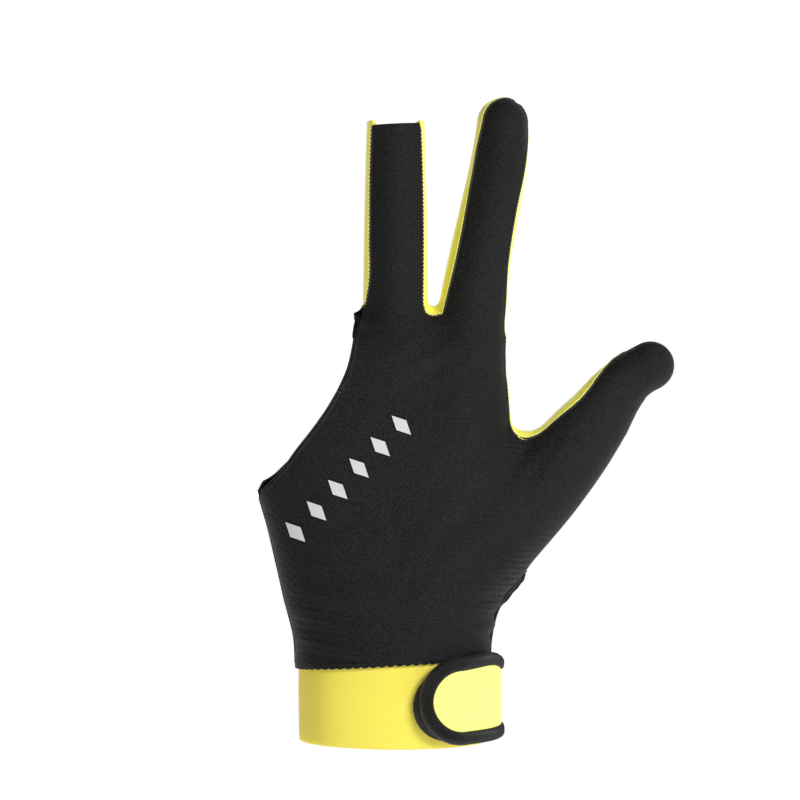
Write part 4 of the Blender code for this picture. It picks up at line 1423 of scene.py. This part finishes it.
@dataclass
class Closure:
    """Strap with its round tab, its edge tape and the hook tape under it."""

    hand: Hand
    wrap: Wrap
    wear: Wardrobe
    width: float = 0.0262
    reach: float = 0.0334
    anchor: float = 0.0330
    thickness: float = 0.0013
    clearance: float = 0.0005
    binding: float = 0.0042
    leg: float = 0.0007
    gap: float = 0.0003
    hook_length: float = 0.0240
    hook_width: float = 0.0210
    hook_peek: float = 0.0016
    middle: float = 0.0160
    rib: float = 0.00068
    rib_rise: float = 0.00017
    crown: float = 0.0009
    rows: Rows = (
        (0.00, 0.04, 0.80),
        (0.30, 0.04, 0.90),
        (0.50, 0.02, 0.95),
        (0.61, 0.045, 1.035),
        (0.80, 0.012, 1.015),
        (1.00, -0.05, 0.98),
    )

    def frame_at(self, share: float) -> tuple[float, float]:
        """Middle height and half-width of the strap at a share of its length."""
        shift, wide = (float(rows_at(self.rows, np.array(share), k)) for k in (1, 2))
        return self.middle + shift * self.width, wide * self.width / 2

    def edge(self, inset: float, steps: int = 160, arc_steps: int = 120) -> np.ndarray:
        """Edge of the strap from its anchor over the top, round the tab and back."""
        length = self.anchor + self.reach
        radius = self.frame_at(1.0)[1]
        straight = length - radius
        top, bottom, arc = [], [], []
        for share in np.linspace(0, straight / length, steps):
            middle, half = self.frame_at(share)
            top.append((share * length - self.anchor, middle + half - inset))
            bottom.append((share * length - self.anchor, middle - half + inset))
        middle, half = self.frame_at(straight / length)
        for turn in np.linspace(math.pi / 2, -math.pi / 2, arc_steps)[1:-1]:
            along = straight - self.anchor + (radius - inset) * math.cos(turn)
            arc.append((along, middle + (half - inset) * math.sin(turn)))
        return np.array(top + arc + bottom[::-1])

    def heights(self) -> tuple[float, float, float]:
        """Lifts of the tape's underside, the strap's underside and the tape's top."""
        low = self.clearance
        under = low + self.leg + self.gap
        return low, under, low + self.thickness + 2 * (self.leg + self.gap)

    def build(self) -> None:
        """Make the strap, the tape and the hook tape."""
        self.strap()
        self.tape()
        self.hooks()

    def strap(self) -> None:
        """Make the crowned strap."""
        _, under, _ = self.heights()
        line = self.edge(self.leg + self.gap)
        half = len(line) // 2
        top, bottom = line[:half], line[::-1][:half]
        shares = np.linspace(0, 1, 15)
        lines = [(s, top + (bottom - top) * s) for s in shares]
        upper = under + self.thickness - 0.0001
        rings = [
            self.wrap.place(p[:, 0], p[:, 1], upper + self.crown * math.sin(math.pi * s) ** 0.6) for s, p in lines
        ]
        rings += [self.wrap.place(p[:, 0], p[:, 1], under) for _, p in lines[::-1]]
        piece = swept("closure_strap_loop", rings)
        dress(piece, self.wear.loop, "closure_strap", "closure_strap")

    def tape(self) -> None:
        """Make the ribbed tape folded round the edge."""
        low, under, high = self.heights()
        length = float(np.linalg.norm(np.diff(self.edge(0.0), axis=0), axis=1).sum())
        count = int(length / (self.rib / 4))
        run = np.arange(count) * self.rib / 4
        rib = self.rib_rise * np.sin(math.tau * run / self.rib)
        lip, wall = self.binding, self.leg
        mid = (low + high) / 2
        section = (
            (lip, low, 0.0),
            (0.6 * lip, low, 0.0),
            (0.12 * lip, low + 0.0002, 0.3),
            (0.0, mid - 0.0007, 1.0),
            (-0.0001, mid, 1.0),
            (0.0, mid + 0.0008, 1.0),
            (0.10 * lip, high - 0.0001, 1.0),
            (0.30 * lip, high + 0.0003, 1.0),
            (0.62 * lip, high + 0.0003, 1.0),
            (0.86 * lip, high + 0.0001, 1.0),
            (0.97 * lip, high - 0.0004, 0.6),
            (0.97 * lip, high - self.leg - 0.0001, 0.0),
            (wall, high - self.leg, 0.0),
            (wall, low + self.leg, 0.0),
            (lip, low + self.leg, 0.0),
        )
        rings = []
        for inset, lift, ribbed in section:
            line = self.edge(inset)
            share = np.linspace(0, 1, len(line))
            at = np.linspace(0, 1, count)
            u, z = np.interp(at, share, line[:, 0]), np.interp(at, share, line[:, 1])
            rings.append(self.wrap.place(u, z, lift + ribbed * rib))
        dress(swept("strap_binding_tape", rings, 70), self.wear.tape, "strap_binding", "strap_binding")

    def hooks(self) -> None:
        """Make the hook tape, whose rim peeks out past the tab."""
        low = -0.0010
        middle, _ = self.frame_at(1.0)
        end = self.reach + self.hook_peek
        half = self.hook_width / 2
        turn = np.linspace(0, math.pi / 2, 60)
        u = end - self.hook_length * (1 - np.sin(turn))
        reach = half * np.sqrt(np.maximum(0.02, 1 - np.maximum(0.0, 1 + (u - end) / half) ** 2))
        shares = np.linspace(-1, 1, 13)
        rings = [self.wrap.place(u, middle + reach * s, low + 0.0013 - 0.0005 * abs(s) ** 6) for s in shares]
        rings += [self.wrap.place(u, middle + reach * s, low) for s in shares[::-1]]
        dress(swept("hook_tape", rings), self.wear.hooks, "hook_patch", "hook_patch")


@dataclass
class Print:
    """Plain diagonal row of pale diamonds printed on the back."""

    hand: Hand
    wear: Wardrobe
    first: tuple[float, float] = (-0.385, 0.375)
    last: tuple[float, float] = (0.005, 0.670)
    count: int = 6
    long_half: float = 0.0042
    short_half: float = 0.0021
    lift: float = 0.00045

    def build(self) -> None:
        """Make the diamonds as one thin film on the cloth."""
        a, b = np.array(self.hand.place(*self.first)), np.array(self.hand.place(*self.last))
        along = (b - a) / np.linalg.norm(b - a)
        across = np.array([-along[1], along[0]])
        points, faces, size = [], [], 9
        for k in range(self.count):
            centre = a + (b - a) * k / (self.count - 1)
            grid = []
            for i in np.linspace(-1, 1, size):
                for j in np.linspace(-1, 1, size):
                    flat = (i + j) / 2 * self.short_half * along + (i - j) / 2 * self.long_half * across
                    grid.append(centre + flat)
            grid = np.array(grid)
            skin = self.on_back(grid)
            normal = self.hand.outward(skin)
            first = len(points) * 2 * size * size
            points.append(np.concatenate([skin + self.lift * normal, skin + 0.0001 * normal]))
            faces += self.film_faces(size, first)
        piece = add_mesh("diamond_print", np.concatenate(points), faces, 40)
        turn_out(piece)
        dress(piece, self.wear.ink, "back_panel")

    def on_back(self, grid: np.ndarray) -> np.ndarray:
        """Points of the back's skin at places in the XZ plane."""
        x, z = grid[:, 0], grid[:, 1]
        depth = np.sqrt(np.maximum(self.hand.depth_squared(x, z), 0)) * self.hand.swell(self.hand.back_swells, x, z)
        return np.stack([x, self.hand.plane(x, z) - depth, z], axis=1)

    @staticmethod
    def film_faces(size: int, first: int) -> list[tuple[int, ...]]:
        """Faces of a closed film over a square grid."""
        under, faces = size * size, []
        for i in range(size - 1):
            for j in range(size - 1):
                a = first + i * size + j
                quad = (a, a + 1, a + size + 1, a + size)
                faces += [quad, tuple(v + under for v in quad[::-1])]
        ring = [first + j for j in range(size)]
        ring += [first + i * size + size - 1 for i in range(1, size)]
        ring += [first + (size - 1) * size + j for j in range(size - 2, -1, -1)]
        ring += [first + i * size for i in range(size - 2, 0, -1)]
        for p, q in zip(ring, ring[1:] + ring[:1]):
            faces.append((q, p, p + under, q + under))
        return faces


@dataclass
class Studio:
    """Pale sweep, soft lights and the camera at the photograph's view."""

    distance: float = 1.2
    span: float = 0.248
    centre: tuple[float, float] = (0.0, 0.1083)

    def light(
        self,
        name: str,
        place: tuple[float, float, float],
        size: float,
        power: float,
        colour: tuple[float, float, float] = (1.0, 1.0, 1.0),
    ) -> None:
        """Square soft light aimed at the glove's middle."""
        lamp = bpy.data.lights.new(name, "AREA")
        lamp.size, lamp.energy, lamp.color = size, power, colour
        holder = bpy.data.objects.new(name, lamp)
        holder.location = place
        way = np.array([0.0, 0.0, self.centre[1]]) - np.array(place)
        holder.rotation_euler = (
            math.acos(-way[2] / np.linalg.norm(way)),
            0.0,
            math.atan2(way[1], way[0]) - math.pi / 2,
        )
        bpy.context.scene.collection.objects.link(holder)

    def build(self) -> None:
        """Make the sweep, the lights, the world and the camera."""
        scene = bpy.context.scene
        width, near, far, low, high, bend = 6.0, -3.0, 1.6, -0.12, 3.0, 0.8
        turns = np.linspace(0, math.pi / 2, 16)
        profile = [(near, low)] + [(far + bend * math.sin(t), low + bend * (1 - math.cos(t))) for t in turns]
        profile.append((far + bend, high))
        points = [(side * width, y, z) for y, z in profile for side in (-1, 1)]
        faces = [(2 * i, 2 * i + 1, 2 * i + 3, 2 * i + 2) for i in range(len(profile) - 1)]
        sweep = add_mesh("studio_sweep", np.array(points), faces)
        shop = Shop("pale_paper")
        paper = {
            "Base Color": (0.93, 0.93, 0.93, 1),
            "Roughness": 0.95,
            "Specular IOR Level": 0.1,
            "Emission Color": (1, 1, 1, 1),
            "Emission Strength": 0.55,
        }
        for key, given in paper.items():
            shop.shader.inputs[key].default_value = given
        sweep.data.materials.append(shop.material)
        world = bpy.data.worlds.new("studio")
        world.use_nodes = True
        world.node_tree.nodes["Background"].inputs["Color"].default_value = (1, 1, 1, 1)
        world.node_tree.nodes["Background"].inputs["Strength"].default_value = 0.12
        scene.world = world
        self.light("key_light", (1.1, -1.3, 0.9), 0.6, 29.0)
        self.light("fill_light", (-1.4, -1.0, 0.3), 1.0, 1.6, (1.0, 0.72, 0.40))
        camera = bpy.data.cameras.new("camera")
        camera.sensor_width = 36.0
        camera.lens = camera.sensor_width * self.distance / self.span
        camera.clip_start, camera.clip_end = 0.05, 20.0
        holder = bpy.data.objects.new("camera", camera)
        holder.location = (self.centre[0], -self.distance, self.centre[1])
        holder.rotation_euler = (math.pi / 2, 0.0, 0.0)
        scene.collection.objects.link(holder)
        scene.camera = holder
        scene.view_settings.view_transform = "Standard"


def main() -> None:
    """Build the studio and the glove's sub-assemblies in order."""
    logging.basicConfig(level=logging.INFO)
    hand = Hand()
    seams, wear, wrap = Seams(hand), Wardrobe(), Wrap(hand)
    Studio().build()
    Shell(hand, seams, wear).build()
    Stitching(hand, seams, wear).build()
    Wristband(hand, wrap, wear).build()
    Closure(hand, wrap, wear).build()
    Print(hand, wear).build()


if __name__ == "__main__":
    main()
